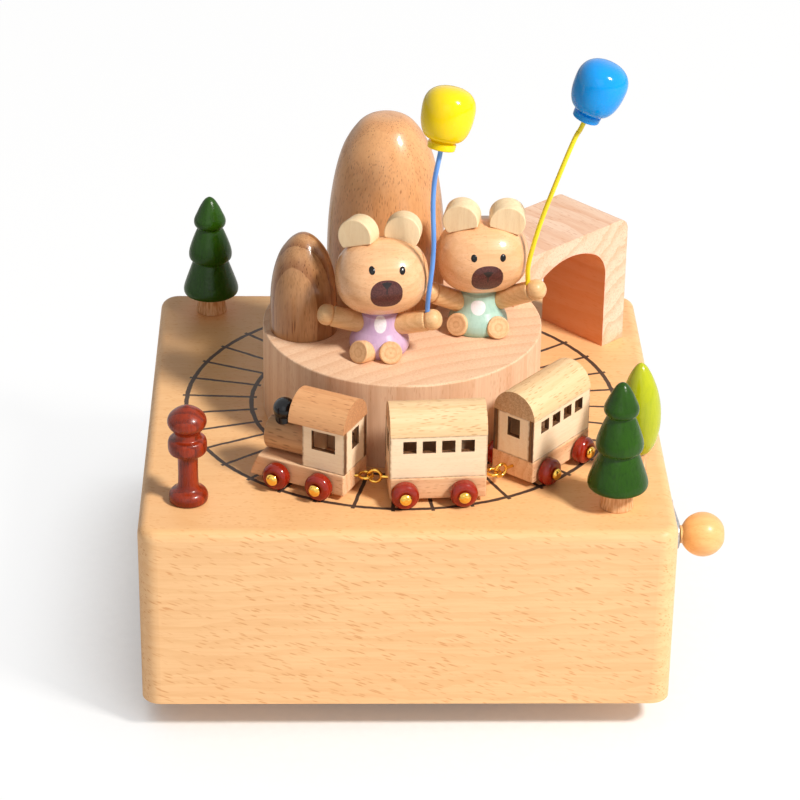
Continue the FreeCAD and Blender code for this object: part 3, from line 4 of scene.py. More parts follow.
import bmesh
import bpy
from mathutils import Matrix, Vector


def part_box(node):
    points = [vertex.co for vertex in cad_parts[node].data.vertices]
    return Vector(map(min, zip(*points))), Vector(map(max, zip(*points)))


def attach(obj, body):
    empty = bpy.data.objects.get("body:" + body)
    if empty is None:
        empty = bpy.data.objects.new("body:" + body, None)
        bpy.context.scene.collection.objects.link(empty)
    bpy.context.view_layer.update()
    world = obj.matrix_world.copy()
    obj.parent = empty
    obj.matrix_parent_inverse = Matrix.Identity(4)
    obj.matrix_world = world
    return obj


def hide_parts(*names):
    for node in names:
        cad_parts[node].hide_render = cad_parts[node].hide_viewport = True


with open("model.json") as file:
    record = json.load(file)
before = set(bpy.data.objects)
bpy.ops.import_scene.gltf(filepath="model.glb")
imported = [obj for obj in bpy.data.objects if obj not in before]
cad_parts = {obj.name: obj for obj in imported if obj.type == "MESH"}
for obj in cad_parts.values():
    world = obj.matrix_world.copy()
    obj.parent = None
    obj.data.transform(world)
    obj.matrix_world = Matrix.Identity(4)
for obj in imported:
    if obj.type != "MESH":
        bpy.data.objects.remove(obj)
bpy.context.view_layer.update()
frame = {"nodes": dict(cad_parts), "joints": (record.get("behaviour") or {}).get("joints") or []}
nodes = frame["nodes"]
MM = 0.001
# a mix node's factor, and its colour pair, which comes after its float and vector pairs
COLOUR_SOCKETS = (0, 6, 7)
EDGE_SAMPLES = 4


def linear(red, green, blue):
    """An sRGB colour from 0 to 255 as the linear one a shader takes."""
    def straight(value):
        value = value / 255
        return value / 12.92 if value <= 0.04045 else ((value + 0.055) / 1.055) ** 2.4
    return (straight(red), straight(green), straight(blue), 1.0)


def tones(*colours):
    """Several sRGB colours at once."""
    return [linear(*colour) for colour in colours]


class Paint:
    """A material being built: each call adds a node and gives its output."""

    def __init__(self, name):
        self.material = bpy.data.materials.new(name)
        self.material.use_nodes = True
        self.tree = self.material.node_tree
        self.tree.nodes.clear()
        self.shader = self.add("BsdfPrincipled")
        output = self.add("OutputMaterial")
        self.tree.links.new(self.shader.outputs["BSDF"], output.inputs["Surface"])
        coordinates = self.add("TexCoord").outputs["Object"]
        self.place = self.vector("SCALE", coordinates, scale=1 / MM)

    def add(self, kind, **settings):
        node = self.tree.nodes.new("ShaderNode" + kind)
        for key, value in settings.items():
            setattr(node, key, value)
        return node

    def feed(self, socket, value):
        if isinstance(value, bpy.types.NodeSocket):
            self.tree.links.new(value, socket)
        elif value is not None:
            socket.default_value = value

    def math(self, operation, first, second=None):
        node = self.add("Math", operation=operation)
        for socket, value in zip(node.inputs, (first, second)):
            self.feed(socket, value)
        return node.outputs[0]

    def vector(self, operation, first, second=None, scale=None):
        node = self.add("VectorMath", operation=operation)
        self.feed(node.inputs[0], first)
        self.feed(node.inputs[1], second)
        if scale is not None:
            node.inputs["Scale"].default_value = scale
        return node.outputs["Value" if operation in ("LENGTH", "DOT_PRODUCT") else "Vector"]

    def split(self, vector):
        node = self.add("SeparateXYZ")
        self.feed(node.inputs[0], vector)
        return node.outputs

    def merge(self, x, y, z):
        node = self.add("CombineXYZ")
        for socket, value in zip(node.inputs, (x, y, z)):
            self.feed(socket, value)
        return node.outputs[0]

    def mapped(self, vector, turn=(0, 0, 0), scale=(1, 1, 1), shift=(0, 0, 0)):
        node = self.add("Mapping")
        self.feed(node.inputs["Vector"], vector)
        node.inputs["Rotation"].default_value = [math.radians(a) for a in turn]
        node.inputs["Scale"].default_value = scale
        node.inputs["Location"].default_value = shift
        return node.outputs[0]

    def noise(self, vector, scale=1.0, detail=3.0, rough=0.5):
        node = self.add("TexNoise")
        self.feed(node.inputs["Vector"], vector)
        self.feed(node.inputs["Scale"], scale)
        self.feed(node.inputs["Detail"], detail)
        self.feed(node.inputs["Roughness"], rough)
        return node.outputs["Fac"]

    def cells(self, vector):
        """Distance to the nearest of many scattered points, one to a cell."""
        node = self.add("TexVoronoi")
        self.feed(node.inputs["Vector"], vector)
        node.inputs["Scale"].default_value = 1.0
        return node.outputs["Distance"]

    def span(self, value, low, high, to_low=0.0, to_high=1.0, smooth=True):
        node = self.add("MapRange", interpolation_type="SMOOTHSTEP" if smooth else "LINEAR")
        for socket, number in zip(node.inputs, (value, low, high, to_low, to_high)):
            self.feed(socket, number)
        return node.outputs[0]

    def mix(self, share, first, second):
        node = self.add("Mix", data_type="RGBA")
        for place, value in zip(COLOUR_SOCKETS, (share, first, second)):
            self.feed(node.inputs[place], value)
        return node.outputs[2]

    def near(self, value, middle, half, soft):
        """1 where value is within half of middle, fading to 0 over soft."""
        off = self.math("ABSOLUTE", self.math("SUBTRACT", value, middle))
        return self.span(off, half + soft, half - soft)

    def oval(self, x, y, middle, halves, power, soft):
        """1 inside an oval, whose corners get squarer with power."""
        total = None
        for value, centre, half in zip((x, y), middle, halves):
            part = self.math("DIVIDE", self.math("ABSOLUTE", self.math("SUBTRACT", value, centre)), half)
            part = self.math("POWER", part, power)
            total = part if total is None else self.math("ADD", total, part)
        return self.span(total, 1 + soft, 1 - soft)

    def worn(self, radius):
        """1 along edges and corners, 0 on flat faces."""
        bevel = self.add("Bevel", samples=EDGE_SAMPLES)
        bevel.inputs["Radius"].default_value = radius * MM
        true = self.add("NewGeometry").outputs["Normal"]
        flat = self.vector("DOT_PRODUCT", bevel.outputs[0], true)
        return self.span(flat, 0.99, 0.8)

    def hollow_shade(self, reach):
        """1 in corners and hollows, where shade falls, 0 in the open: the mask for painted shade."""
        shade = self.add("AmbientOcclusion", samples=EDGE_SAMPLES)
        shade.inputs["Distance"].default_value = reach * MM
        return self.span(shade.outputs["AO"], 0.75, 0.25)

    def finish(self, colour, rough, height=None, depth=0.1, coat=0.0, coat_rough=0.1,
               metal=0.0, specular=0.5):
        """Feed the shader; depth is the relief's height in mm."""
        s = self.shader.inputs
        self.feed(s["Base Color"], colour)
        self.feed(s["Roughness"], rough)
        s["Metallic"].default_value = metal
        s["Specular IOR Level"].default_value = specular
        s["Coat Weight"].default_value = coat
        s["Coat Roughness"].default_value = coat_rough
        if height is not None:
            bump = self.add("Bump")
            bump.inputs["Strength"].default_value = 1.0
            bump.inputs["Distance"].default_value = depth * MM
            self.feed(bump.inputs["Height"], height)
            self.tree.links.new(bump.outputs[0], s["Normal"])
        return self.material


# the place's parts, put in the order along the grain and twice across it
AXES = {"X": (0, 1, 2), "Y": (1, 0, 2), "Z": (2, 0, 1)}
# cells per mm along and across the grain
SLOW_WAVES = (0.018, 0.06, 0.06)
RIPPLES = (0.07, 0.3, 0.3)
STRANDS = (0.06, 1.5, 1.5)
FIBRES = (0.35, 6.0, 6.0)
BLOTCHES = (0.02, 0.05, 0.05)
WANDER = (0.12, 0.4, 0.4)
PATCHES = (0.16, 0.28, 0.28)
PORES = (0.16, 2.2, 2.2)
SEED_STEP = 37.3
WOOD_SHINE = 0.28


def from_lines(p, lines):
    """Distance from the nearest of some lines, each a point and a direction in mm."""
    nearest = None
    for point, way in lines:
        length = math.sqrt(sum(step * step for step in way))
        unit = [step / length for step in way]
        off = p.vector("CROSS_PRODUCT", p.vector("SUBTRACT", p.place, point), unit)
        reach = p.vector("LENGTH", off)
        nearest = reach if nearest is None else p.math("MINIMUM", nearest, reach)
    return nearest


def wood(name, palette, grain="X", turned_by=0.0, pith=(30, 40), ring=4.0, rings=0.5, hearts=None, drift=1.0,
         pores=0.0, flecks=0.6, fleck_size=(3.4, 0.75), slant=(0, 0, 0), rough=0.5, coat=0.0, coat_rough=0.2,
         wear=0.25, seed=0, extra=(), relief=0.03):
    """Solid timber: growth rings round a pith, long fibres and short ray flecks, in one grain direction.

    palette is the pale, dark and fleck colours; turned_by is the grain's bearing in degrees; pith is where
    the rings' middle is across the grain, ring their spacing and fleck_size a fleck's cell, all in mm.
    hearts are lines to use for the pith. rings, pores, flecks and wear say how strong each is, and extra
    holds functions that change the colour and roughness.
    """
    pale, dark, fleck = palette
    p = Paint(name)
    parts = p.split(p.mapped(p.place, turn=(0, 0, -turned_by)))
    first, second, third = (parts[axis] for axis in AXES[grain])
    along = p.vector("ADD", p.merge(first, second, third), (seed * SEED_STEP, 0, 0))
    slow = p.noise(p.mapped(along, scale=SLOW_WAVES, shift=(seed, 3.1, 7.7)), 1.0, 2.0)
    ripple = p.noise(p.mapped(along, scale=RIPPLES, shift=(5.2, seed, 1.4)), 1.0, 2.0)
    if hearts:
        radius = from_lines(p, hearts)
    else:
        across = p.merge(0.0, p.math("SUBTRACT", second, pith[0]), p.math("SUBTRACT", third, pith[1]))
        radius = p.vector("LENGTH", across)
    radius = p.math("ADD", radius, p.math("MULTIPLY", slow, ring * 3.5 * drift))
    radius = p.math("ADD", radius, p.math("MULTIPLY", ripple, ring * 0.7 * drift))
    year = p.math("FRACT", p.math("DIVIDE", radius, ring))
    late = p.math("MULTIPLY", p.span(year, 0.35, 0.93), p.span(year, 1.0, 0.95))
    strands = p.noise(p.mapped(along, scale=STRANDS, shift=(seed, 0, 0)), 1.0, 5.0, 0.62)
    fine = p.noise(p.mapped(along, scale=FIBRES, shift=(0, seed, 0)), 1.0, 3.0, 0.6)
    blotch = p.noise(p.mapped(along, scale=BLOTCHES, shift=(1.7, 2.9, seed)), 1.0, 2.0)

    slanted = p.mapped(along, turn=slant)
    wander = p.noise(p.mapped(slanted, scale=WANDER), 1.0, 1.0)
    bent = p.vector("ADD", slanted, p.merge(0.0, p.math("MULTIPLY", wander, 1.2), 0.0))
    length, width = fleck_size
    mark = p.cells(p.mapped(bent, scale=(1 / length, 1 / width, 1 / width), shift=(seed, seed, 0)))
    mark = p.span(mark, 0.36, 0.16)
    patch = p.span(p.noise(p.mapped(slanted, scale=PATCHES, shift=(0, 0, seed))), 0.3, 0.6)
    mark = p.math("MULTIPLY", mark, patch)

    colour = p.mix(p.math("MULTIPLY", late, rings), pale, dark)
    colour = p.mix(p.span(strands, 0.38, 0.72, 0.0, 0.42), colour, dark)
    colour = p.mix(p.span(strands, 0.52, 0.25, 0.0, 0.25), colour, pale)
    colour = p.mix(p.span(fine, 0.45, 0.8, 0.0, 0.28), colour, dark)
    colour = p.mix(p.span(blotch, 0.3, 0.75, 0.0, 0.22), colour, dark)
    if pores:
        pore = p.cells(p.mapped(along, scale=PORES, shift=(seed, 1.0, 2.0)))
        pore = p.math("MULTIPLY", p.span(pore, 0.34, 0.12), p.span(late, 0.1, 0.7, 0.3, 1.0))
        colour = p.mix(p.math("MULTIPLY", pore, pores), colour, fleck)
    colour = p.mix(p.math("MULTIPLY", mark, flecks), colour, fleck)
    rub = p.math("MULTIPLY", p.worn(0.5), p.span(p.noise(p.place, 0.35, 3.0), 0.35, 0.65))
    colour = p.mix(p.math("MULTIPLY", rub, wear), colour, fleck)
    # painted shade: corners and hollows darkened toward the fleck colour
    colour = p.mix(p.math("MULTIPLY", p.hollow_shade(1.2), 0.3), colour, fleck)
    height = p.math("SUBTRACT", p.math("MULTIPLY", fine, 0.5), p.math("MULTIPLY", mark, 0.35))
    height = p.math("SUBTRACT", height, p.math("MULTIPLY", late, 0.15))
    roughness = p.span(fine, 0.2, 0.8, rough - 0.05, rough + 0.08)
    roughness = p.math("ADD", roughness, p.math("MULTIPLY", mark, 0.08))
    for change in extra:
        colour, roughness = change(p, colour, roughness)
    return p.finish(colour, roughness, height, relief, coat=coat, coat_rough=coat_rough,
                    specular=WOOD_SHINE)


POOLS = (0.12, 0.12, 0.12)
TURNED_GRAIN = (1.6, 1.6, 0.16)
COAT_POLISH = 0.06
DRAWN_LINES = (0.7, 6.0, 6.0)
METAL_RELIEF = 0.012


def lacquer(name, colour, shade, rough=0.16, coat=0.6, grain=0.4, brush=0.5, extra=(), relief=0.035,
            specular=0.3):
    """Glossy colour over turned timber: a little grain shows through, the coat pools and thins, and painted
    shade darkens its hollows.
    """
    p = Paint(name)
    pool = p.noise(p.mapped(p.place, scale=POOLS), 1.0, 3.0)
    grains = p.noise(p.mapped(p.place, scale=TURNED_GRAIN), 1.0, 4.0, 0.6)
    peel = p.noise(p.place, 0.9, 2.0)
    tone = p.mix(p.span(pool, 0.35, 0.7, 0.0, 0.35), colour, shade)
    tone = p.mix(p.span(grains, 0.45, 0.75, 0.0, grain), tone, shade)
    tone = p.mix(p.math("MULTIPLY", p.worn(0.3), 0.2), tone, shade)
    # painted shade: corners and hollows darkened toward the darker tone
    tone = p.mix(p.math("MULTIPLY", p.hollow_shade(1.5), 0.45), tone, shade)
    height = p.math("ADD", p.math("MULTIPLY", peel, brush), p.math("MULTIPLY", grains, 0.35))
    roughness = p.span(pool, 0.3, 0.7, rough, rough + 0.07)
    for change in extra:
        tone, roughness = change(p, tone, roughness)
    return p.finish(tone, roughness, height, relief, coat=coat, coat_rough=COAT_POLISH, specular=specular)


def metal(name, colour, shade, rough=0.25):
    """Bright metal with drawn lines, a faint tarnish and painted shade in its hollows."""
    p = Paint(name)
    drawn = p.noise(p.mapped(p.place, scale=DRAWN_LINES), 1.0, 3.0, 0.6)
    cloud = p.noise(p.place, 0.5, 3.0)
    tone = p.mix(p.span(cloud, 0.4, 0.7, 0.0, 0.5), colour, shade)
    # painted shade: hollows darkened toward the shade colour
    tone = p.mix(p.math("MULTIPLY", p.hollow_shade(0.6), 0.6), tone, shade)
    roughness = p.span(drawn, 0.3, 0.7, rough - 0.06, rough + 0.08)
    roughness = p.math("ADD", roughness, p.span(cloud, 0.5, 0.8, 0.0, 0.1))
    return p.finish(tone, roughness, p.math("MULTIPLY", drawn, 0.5), METAL_RELIEF, metal=1.0)


DECK = 44.8
TRACK_CENTRE = (-0.4, 1.8)
RAILS = (51.0, 35.6)
RAIL_WIDTH = 1.05
SLEEPER_STEP = 10.0
SLEEPER_FIRST = 6.7
SLEEPER_WIDTH = 0.85
SLEEPER_REACH = (34.4, 52.1)
INK_EDGE = 0.06
INK_DEPTH = 0.1
INK = linear(40, 32, 36)


def printed_track(p, colour, roughness):
    """The black printed railway: two rails and 36 sleepers on the deck."""
    smear = p.noise(p.mapped(p.place, scale=(0.5, 0.5, 0.5)), 1.0, 2.0)
    wobble = p.span(smear, 0.2, 0.8, -0.12, 0.12, smooth=False)
    x, y, z = p.split(p.place)[:3]
    x = p.math("SUBTRACT", x, TRACK_CENTRE[0])
    y = p.math("SUBTRACT", y, TRACK_CENTRE[1])
    reach = p.vector("LENGTH", p.merge(x, y, 0.0))
    bearing = p.math("ARCTAN2", y, x)
    step = math.radians(SLEEPER_STEP)
    turned = p.math("SUBTRACT", bearing, math.radians(SLEEPER_FIRST) + step / 2)
    local = p.math("SUBTRACT", p.math("FLOORED_MODULO", turned, step), step / 2)
    side = p.math("ADD", p.math("MULTIPLY", reach, p.math("SINE", local)), wobble)
    ink = p.near(side, 0.0, SLEEPER_WIDTH / 2, INK_EDGE)
    inner, outer = SLEEPER_REACH
    ends = p.near(reach, (inner + outer) / 2, (outer - inner) / 2, INK_EDGE)
    ink = p.math("MULTIPLY", ink, ends)
    for rail in RAILS:
        ink = p.math("MAXIMUM", ink, p.near(p.math("ADD", reach, wobble), rail, RAIL_WIDTH / 2, INK_EDGE))
    ink = p.math("MULTIPLY", ink, p.span(z, DECK - 2 * INK_DEPTH, DECK - INK_DEPTH))
    dry = p.noise(p.mapped(p.place, scale=(0.9, 5.0, 5.0)), 1.0, 3.0, 0.6)
    ink = p.math("MULTIPLY", ink, p.span(dry, 0.62, 0.85, 0.95, 0.72))
    return p.mix(ink, colour, INK), p.math("ADD", roughness, p.math("MULTIPLY", ink, 0.08))


# painted shade: the deeper tone of the deck's upward faces
TOP_SHADE_TONE = linear(248, 190, 126)


def shaded_top(p, colour, roughness):
    """The faces that point up get a deeper, more even tone: painted shade, since the key lamp falls more on
    the deck than on the sides.
    """
    up = p.split(p.add("NewGeometry").outputs["Normal"])[2]
    return p.mix(p.span(up, 0.5, 1.0, 0.0, 0.45), colour, TOP_SHADE_TONE), roughness


DULL = (0.55, 0.55, 0.55, 1.0)
SATIN = (0.42, 0.42, 0.42, 1.0)
TUNNEL_TURN = 42.5
# painted shade: the darker, redder tone of the tunnel's arch
TUNNEL_SHADE_TONE = linear(232, 140, 76)


def tunnel_shade(p, colour, roughness):
    """The tunnel's arch and the sides that face along the track are painted a darker, redder tone: painted
    shade with warm bounce light.
    """
    facing = p.mapped(p.add("NewGeometry").outputs["Normal"], turn=(0, 0, -TUNNEL_TURN))
    ahead, up = p.split(facing)[1:3]
    flat = p.span(p.math("ABSOLUTE", ahead), 0.7, 0.3)
    flat = p.math("MULTIPLY", flat, p.span(up, 0.8, 0.4))
    return p.mix(p.math("MULTIPLY", flat, 0.75), colour, TUNNEL_SHADE_TONE), roughness


def bare_below(height, palette):
    """Unpainted turned timber below a height above the deck."""
    def change(p, colour, roughness):
        z = p.split(p.place)[2]
        fibres = p.noise(p.mapped(p.place, scale=(2.0, 2.0, 0.2)), 1.0, 3.0)
        timber = p.mix(p.span(fibres, 0.35, 0.65), *palette)
        bare = p.span(z, DECK + height + 0.06, DECK + height - 0.06)
        return p.mix(bare, colour, timber), p.mix(bare, roughness, DULL)
    return change


HEAD_TURN = 8.0
HEAD_HALF = 10.65
HEAD_RADIUS = 8.95
HEAD_SQUARE = 2.4
BEARS = {
    "lilac_bear": {"head": (-5.6, -11.8, 84.6), "body": (-6, -11.8, 66.2),
                   "eyes": ((-3.39, 4.87), (3.5, 4.5)), "muzzle": (-0.26, -0.6), "nose": (-0.2, 0.75),
                   "belly": (0.1, 8.0), "spot": (1.4, 1.95), "groove": 9.15,
                   "legs": [((-3.2, -5.4, 1.6), (-1.8, -2.15, 1.0)), ((2.3, -5.6, 1.5), (0.2, -2.2, 1.05))]},
    "mint_bear": {"head": (17.85, -0.6, 84.6), "body": (17.2, -0.6, 66.2),
                  "eyes": ((-3.51, 3.03), (3.21, 2.8)), "muzzle": (-0.35, -2.2), "nose": (-0.25, -1.85),
                  "belly": (-0.25, 6.9), "spot": (1.7, 1.65), "groove": None,
                  "legs": [((-3.8, -3, 1.9), (-1.5, -2.5, 1.1)), ((4, -4.6, 1.8), (0.55, -1.9, 0.9))]}}
MUZZLE = (3.68, 3.42)
MUZZLE_SQUARE = 2.35
SPOT_SQUARE = 2.2
SPOT_EDGE = 0.12
GROOVE_HALF = 0.12
NOSE_HALF = 1.4
NOSE_HEIGHT = 1.65
MOUTH = (0.13, 1.35)
EYE = (0.7, 0.85)
EYE_RISE = 0.28
MUZZLE_BROWN = linear(98, 50, 46)
MUZZLE_DARK = linear(74, 34, 32)
NOSE_BLACK = linear(34, 26, 28)
SPOT_WHITE = linear(244, 240, 244)
GROOVE_BROWN = linear(150, 74, 36)


def face(bear):
    """Printed muzzle, nose and mouth, drawn about the head's own middle."""
    def change(p, colour, roughness):
        own = p.mapped(p.vector("SUBTRACT", p.place, bear["head"]), turn=(0, 0, -HEAD_TURN))
        x, y, z = p.split(own)[:3]
        front = p.span(y, 0.0, -1.0)
        speckle = p.noise(p.place, 3.0, 3.0, 0.7)
        edge = p.span(p.noise(p.place, 1.6, 2.0), 0.3, 0.7, -0.03, 0.03)
        patch = p.oval(p.math("ADD", x, edge), z, bear["muzzle"], MUZZLE, MUZZLE_SQUARE, INK_EDGE / 2)
        patch = p.math("MULTIPLY", patch, front)
        brown = p.mix(p.span(speckle, 0.42, 0.62), MUZZLE_DARK, MUZZLE_BROWN)
        colour = p.mix(patch, colour, brown)
        nose_x, nose_z = bear["nose"]
        rise = p.math("DIVIDE", p.math("SUBTRACT", z, nose_z), NOSE_HEIGHT)
        half = p.math("MULTIPLY", p.math("POWER", p.math("MAXIMUM", rise, 0.0), 0.75), NOSE_HALF)
        half = p.math("MULTIPLY", half, p.span(rise, 1.08, 0.8))
        off = p.math("ABSOLUTE", p.math("SUBTRACT", x, nose_x))
        nose = p.span(p.math("SUBTRACT", half, off), -0.05, 0.1)
        nose = p.math("MULTIPLY", nose, p.span(rise, -0.02, 0.06))
        mouth = p.near(x, nose_x, MOUTH[0], 0.05)
        mouth = p.math("MULTIPLY", mouth, p.near(z, nose_z - MOUTH[1] / 2 + 0.1, MOUTH[1] / 2, 0.06))
        drawn = p.math("MULTIPLY", p.math("MAXIMUM", nose, mouth), front)
        colour = p.mix(drawn, colour, NOSE_BLACK)
        if bear["groove"]:
            line = p.near(x, bear["groove"], GROOVE_HALF, INK_EDGE)
            colour = p.mix(p.math("MULTIPLY", line, 0.8), colour, GROOVE_BROWN)
        return colour, p.mix(patch, roughness, SATIN)
    return change


def belly(bear):
    """The white printed spot on the front of a body."""
    def change(p, colour, roughness):
        x, y, z = p.split(p.vector("SUBTRACT", p.place, bear["body"]))[:3]
        spot = p.oval(x, z, bear["belly"], bear["spot"], SPOT_SQUARE, SPOT_EDGE)
        spot = p.math("MULTIPLY", spot, p.span(y, 0.0, -1.0))
        thin = p.span(p.noise(p.place, 2.2, 3.0), 0.3, 0.6, 0.75, 0.97)
        return p.mix(p.math("MULTIPLY", spot, thin), colour, SPOT_WHITE), roughness
    return change


BURNT = linear(58, 30, 14)
SCORCHED = linear(132, 82, 38)
PANEL = 1.2
PANEL_GAP = 0.02
END_RIM = 0.5
TOP_RIM = 0.45
SEAM_RIM = 0.3


def own_frame(name, heading):
    """Middle and half sizes of a node along and across a heading, in mm."""
    turn = math.radians(heading)
    ahead = Vector((math.cos(turn), math.sin(turn), 0))
    aside = Vector((-math.sin(turn), math.cos(turn), 0))
    spans = []
    for way in (ahead, aside, Vector((0, 0, 1))):
        marks = [vertex.co.dot(way) / MM for vertex in nodes[name].data.vertices]
        spans.append(((min(marks) + max(marks)) / 2, (max(marks) - min(marks)) / 2))
    return spans


def burnt_edges(name, heading):
    """Laser-cut panels: dark brown cut faces, and a scorched rim on the flat faces beside them."""
    (mid_x, half_x), (mid_y, half_y), (mid_z, half_z) = own_frame(name, heading)

    def change(p, colour, roughness):
        x, y, z = p.split(p.mapped(p.place, turn=(0, 0, -heading)))[:3]
        facing = p.add("NewGeometry").outputs["True Normal"]
        nx, ny = p.split(p.mapped(facing, turn=(0, 0, -heading)))[:2]
        off_y = p.math("ABSOLUTE", p.math("SUBTRACT", y, mid_y))
        seam = half_y - PANEL
        in_side = p.span(off_y, seam - PANEL_GAP, seam + PANEL_GAP)
        cut_side = p.math("MULTIPLY", in_side, p.span(p.math("ABSOLUTE", ny), 0.6, 0.4))
        cut_end = p.math("MULTIPLY", p.math("SUBTRACT", 1.0, in_side),
                         p.span(p.math("ABSOLUTE", nx), 0.6, 0.4))
        cut = p.math("MAXIMUM", cut_side, cut_end)
        streak = p.noise(p.mapped(p.place, scale=(2.5, 2.5, 0.35)), 1.0, 3.0, 0.6)
        char = p.mix(p.span(streak, 0.35, 0.68), BURNT, SCORCHED)
        colour = p.mix(p.math("MULTIPLY", cut, 0.95), colour, char)
        off_x = p.math("ABSOLUTE", p.math("SUBTRACT", x, mid_x))
        off_z = p.math("ABSOLUTE", p.math("SUBTRACT", z, mid_z))
        beside_seam = p.near(off_y, seam, SEAM_RIM, SEAM_RIM)
        beside_end = p.span(off_x, half_x - END_RIM, half_x)
        rim = p.mix(p.span(p.math("ABSOLUTE", ny), 0.4, 0.6), beside_seam, beside_end)
        rim = p.math("MAXIMUM", rim, p.span(off_z, half_z - TOP_RIM, half_z))
        smoke = p.span(p.noise(p.place, 0.8, 2.0), 0.3, 0.7, 0.25, 0.75)
        colour = p.mix(p.math("MULTIPLY", rim, smoke), colour, SCORCHED)
        return colour, p.math("ADD", roughness, p.math("MULTIPLY", cut, 0.15))
    return change


PINE_TRUNK = 5.26
TREE_TRUNK = 4.66


def give(material, *names):
    """Put one material on CAD nodes."""
    for name in names:
        mesh = nodes[name].data
        mesh.materials.clear()
        mesh.materials.append(material)


def box_and_landscape():
    """The base with what is under it, the platform, the domes, the tunnel, the trees and the post."""
    beech = tones((250, 204, 150), (234, 178, 122), (212, 136, 76))
    # the deck's deeper tone is painted shade; the track is real print
    give(wood("beech_base", beech, "X", pith=(-60, 10), ring=3.6, rings=0.35, flecks=0.6,
              fleck_size=(5.2, 0.62), slant=(0, -20, 6), rough=0.42, coat=0.06, coat_rough=0.3, wear=0.12,
              drift=1.4, extra=(shaded_top, printed_track)), "base")
    ply = tones((226, 190, 148), (196, 150, 104), (160, 108, 64))
    give(wood("plywood", ply, "Y", ring=3.0), "bottom_plate")
    foot = tones((120, 84, 58), (92, 60, 40), (64, 40, 26))
    give(wood("foot_wood", foot, "Z", ring=2.4), "feet")
    platform = tones((246, 210, 176), (222, 172, 132), (198, 134, 90))
    give(wood("beech_platform", platform, "Z", pith=(48, -112), ring=4.4, rings=0.45, flecks=0.35,
              fleck_size=(2.6, 0.45), rough=0.6, wear=0.35, relief=0.05, drift=0.12), "platform")
    dome = tones((232, 176, 122), (208, 144, 92), (156, 98, 56))
    give(wood("dome_wood", dome, "Z", pith=(6, 44), ring=7.5, rings=0.35, pores=0.6, flecks=0.7,
              fleck_size=(2.2, 0.4), rough=0.3, coat=0.35, coat_rough=0.1, seed=2), "large_dome")
    # the small dome's tones are darker than the large dome's: partly its own strong-grained wood, partly
    # painted shade from the bears and the large dome
    shaded_cone = tones((202, 152, 104), (154, 102, 60), (110, 64, 32))
    give(wood("dome_wood_small", shaded_cone, "Z", pith=(-17, 22), ring=2.7, rings=0.95, drift=0.3, pores=1.0,
              flecks=0.3, fleck_size=(2.6, 0.6), rough=0.3, coat=0.4, coat_rough=0.12, seed=5), "small_dome")
    # the arch's redder tone is painted shade
    block = tones((248, 216, 190), (226, 168, 128), (196, 120, 74))
    give(wood("tunnel_wood", block, "Y", turned_by=TUNNEL_TURN, pith=(120, -40), ring=4.6, rings=0.5,
              flecks=0.4, fleck_size=(2.8, 0.5), rough=0.45, coat=0.05, seed=7,
              extra=(tunnel_shade,)), "tunnel_block")
    trunk = tones((238, 196, 150), (206, 152, 102))
    give(lacquer("pine_lacquer", linear(38, 80, 2), linear(14, 44, 0), rough=0.24, coat=0.1, brush=1.0,
                 relief=0.09, specular=0.2, extra=(bare_below(PINE_TRUNK, trunk),)), "pine_trees")
    give(lacquer("leaf_lacquer", linear(186, 192, 20), linear(150, 166, 8), rough=0.2, coat=0.2, brush=0.8,
                 relief=0.06, extra=(bare_below(TREE_TRUNK, trunk),)), "round_tree")
    stain = tones((158, 50, 14), (98, 24, 6), (44, 8, 2))
    give(wood("red_stain", stain, "Z", pith=(-48, -20), ring=1.6, rings=0.6, pores=0.7, flecks=0.35,
              fleck_size=(2.0, 0.4), rough=0.28, coat=0.2, coat_rough=0.07), "signal_post")


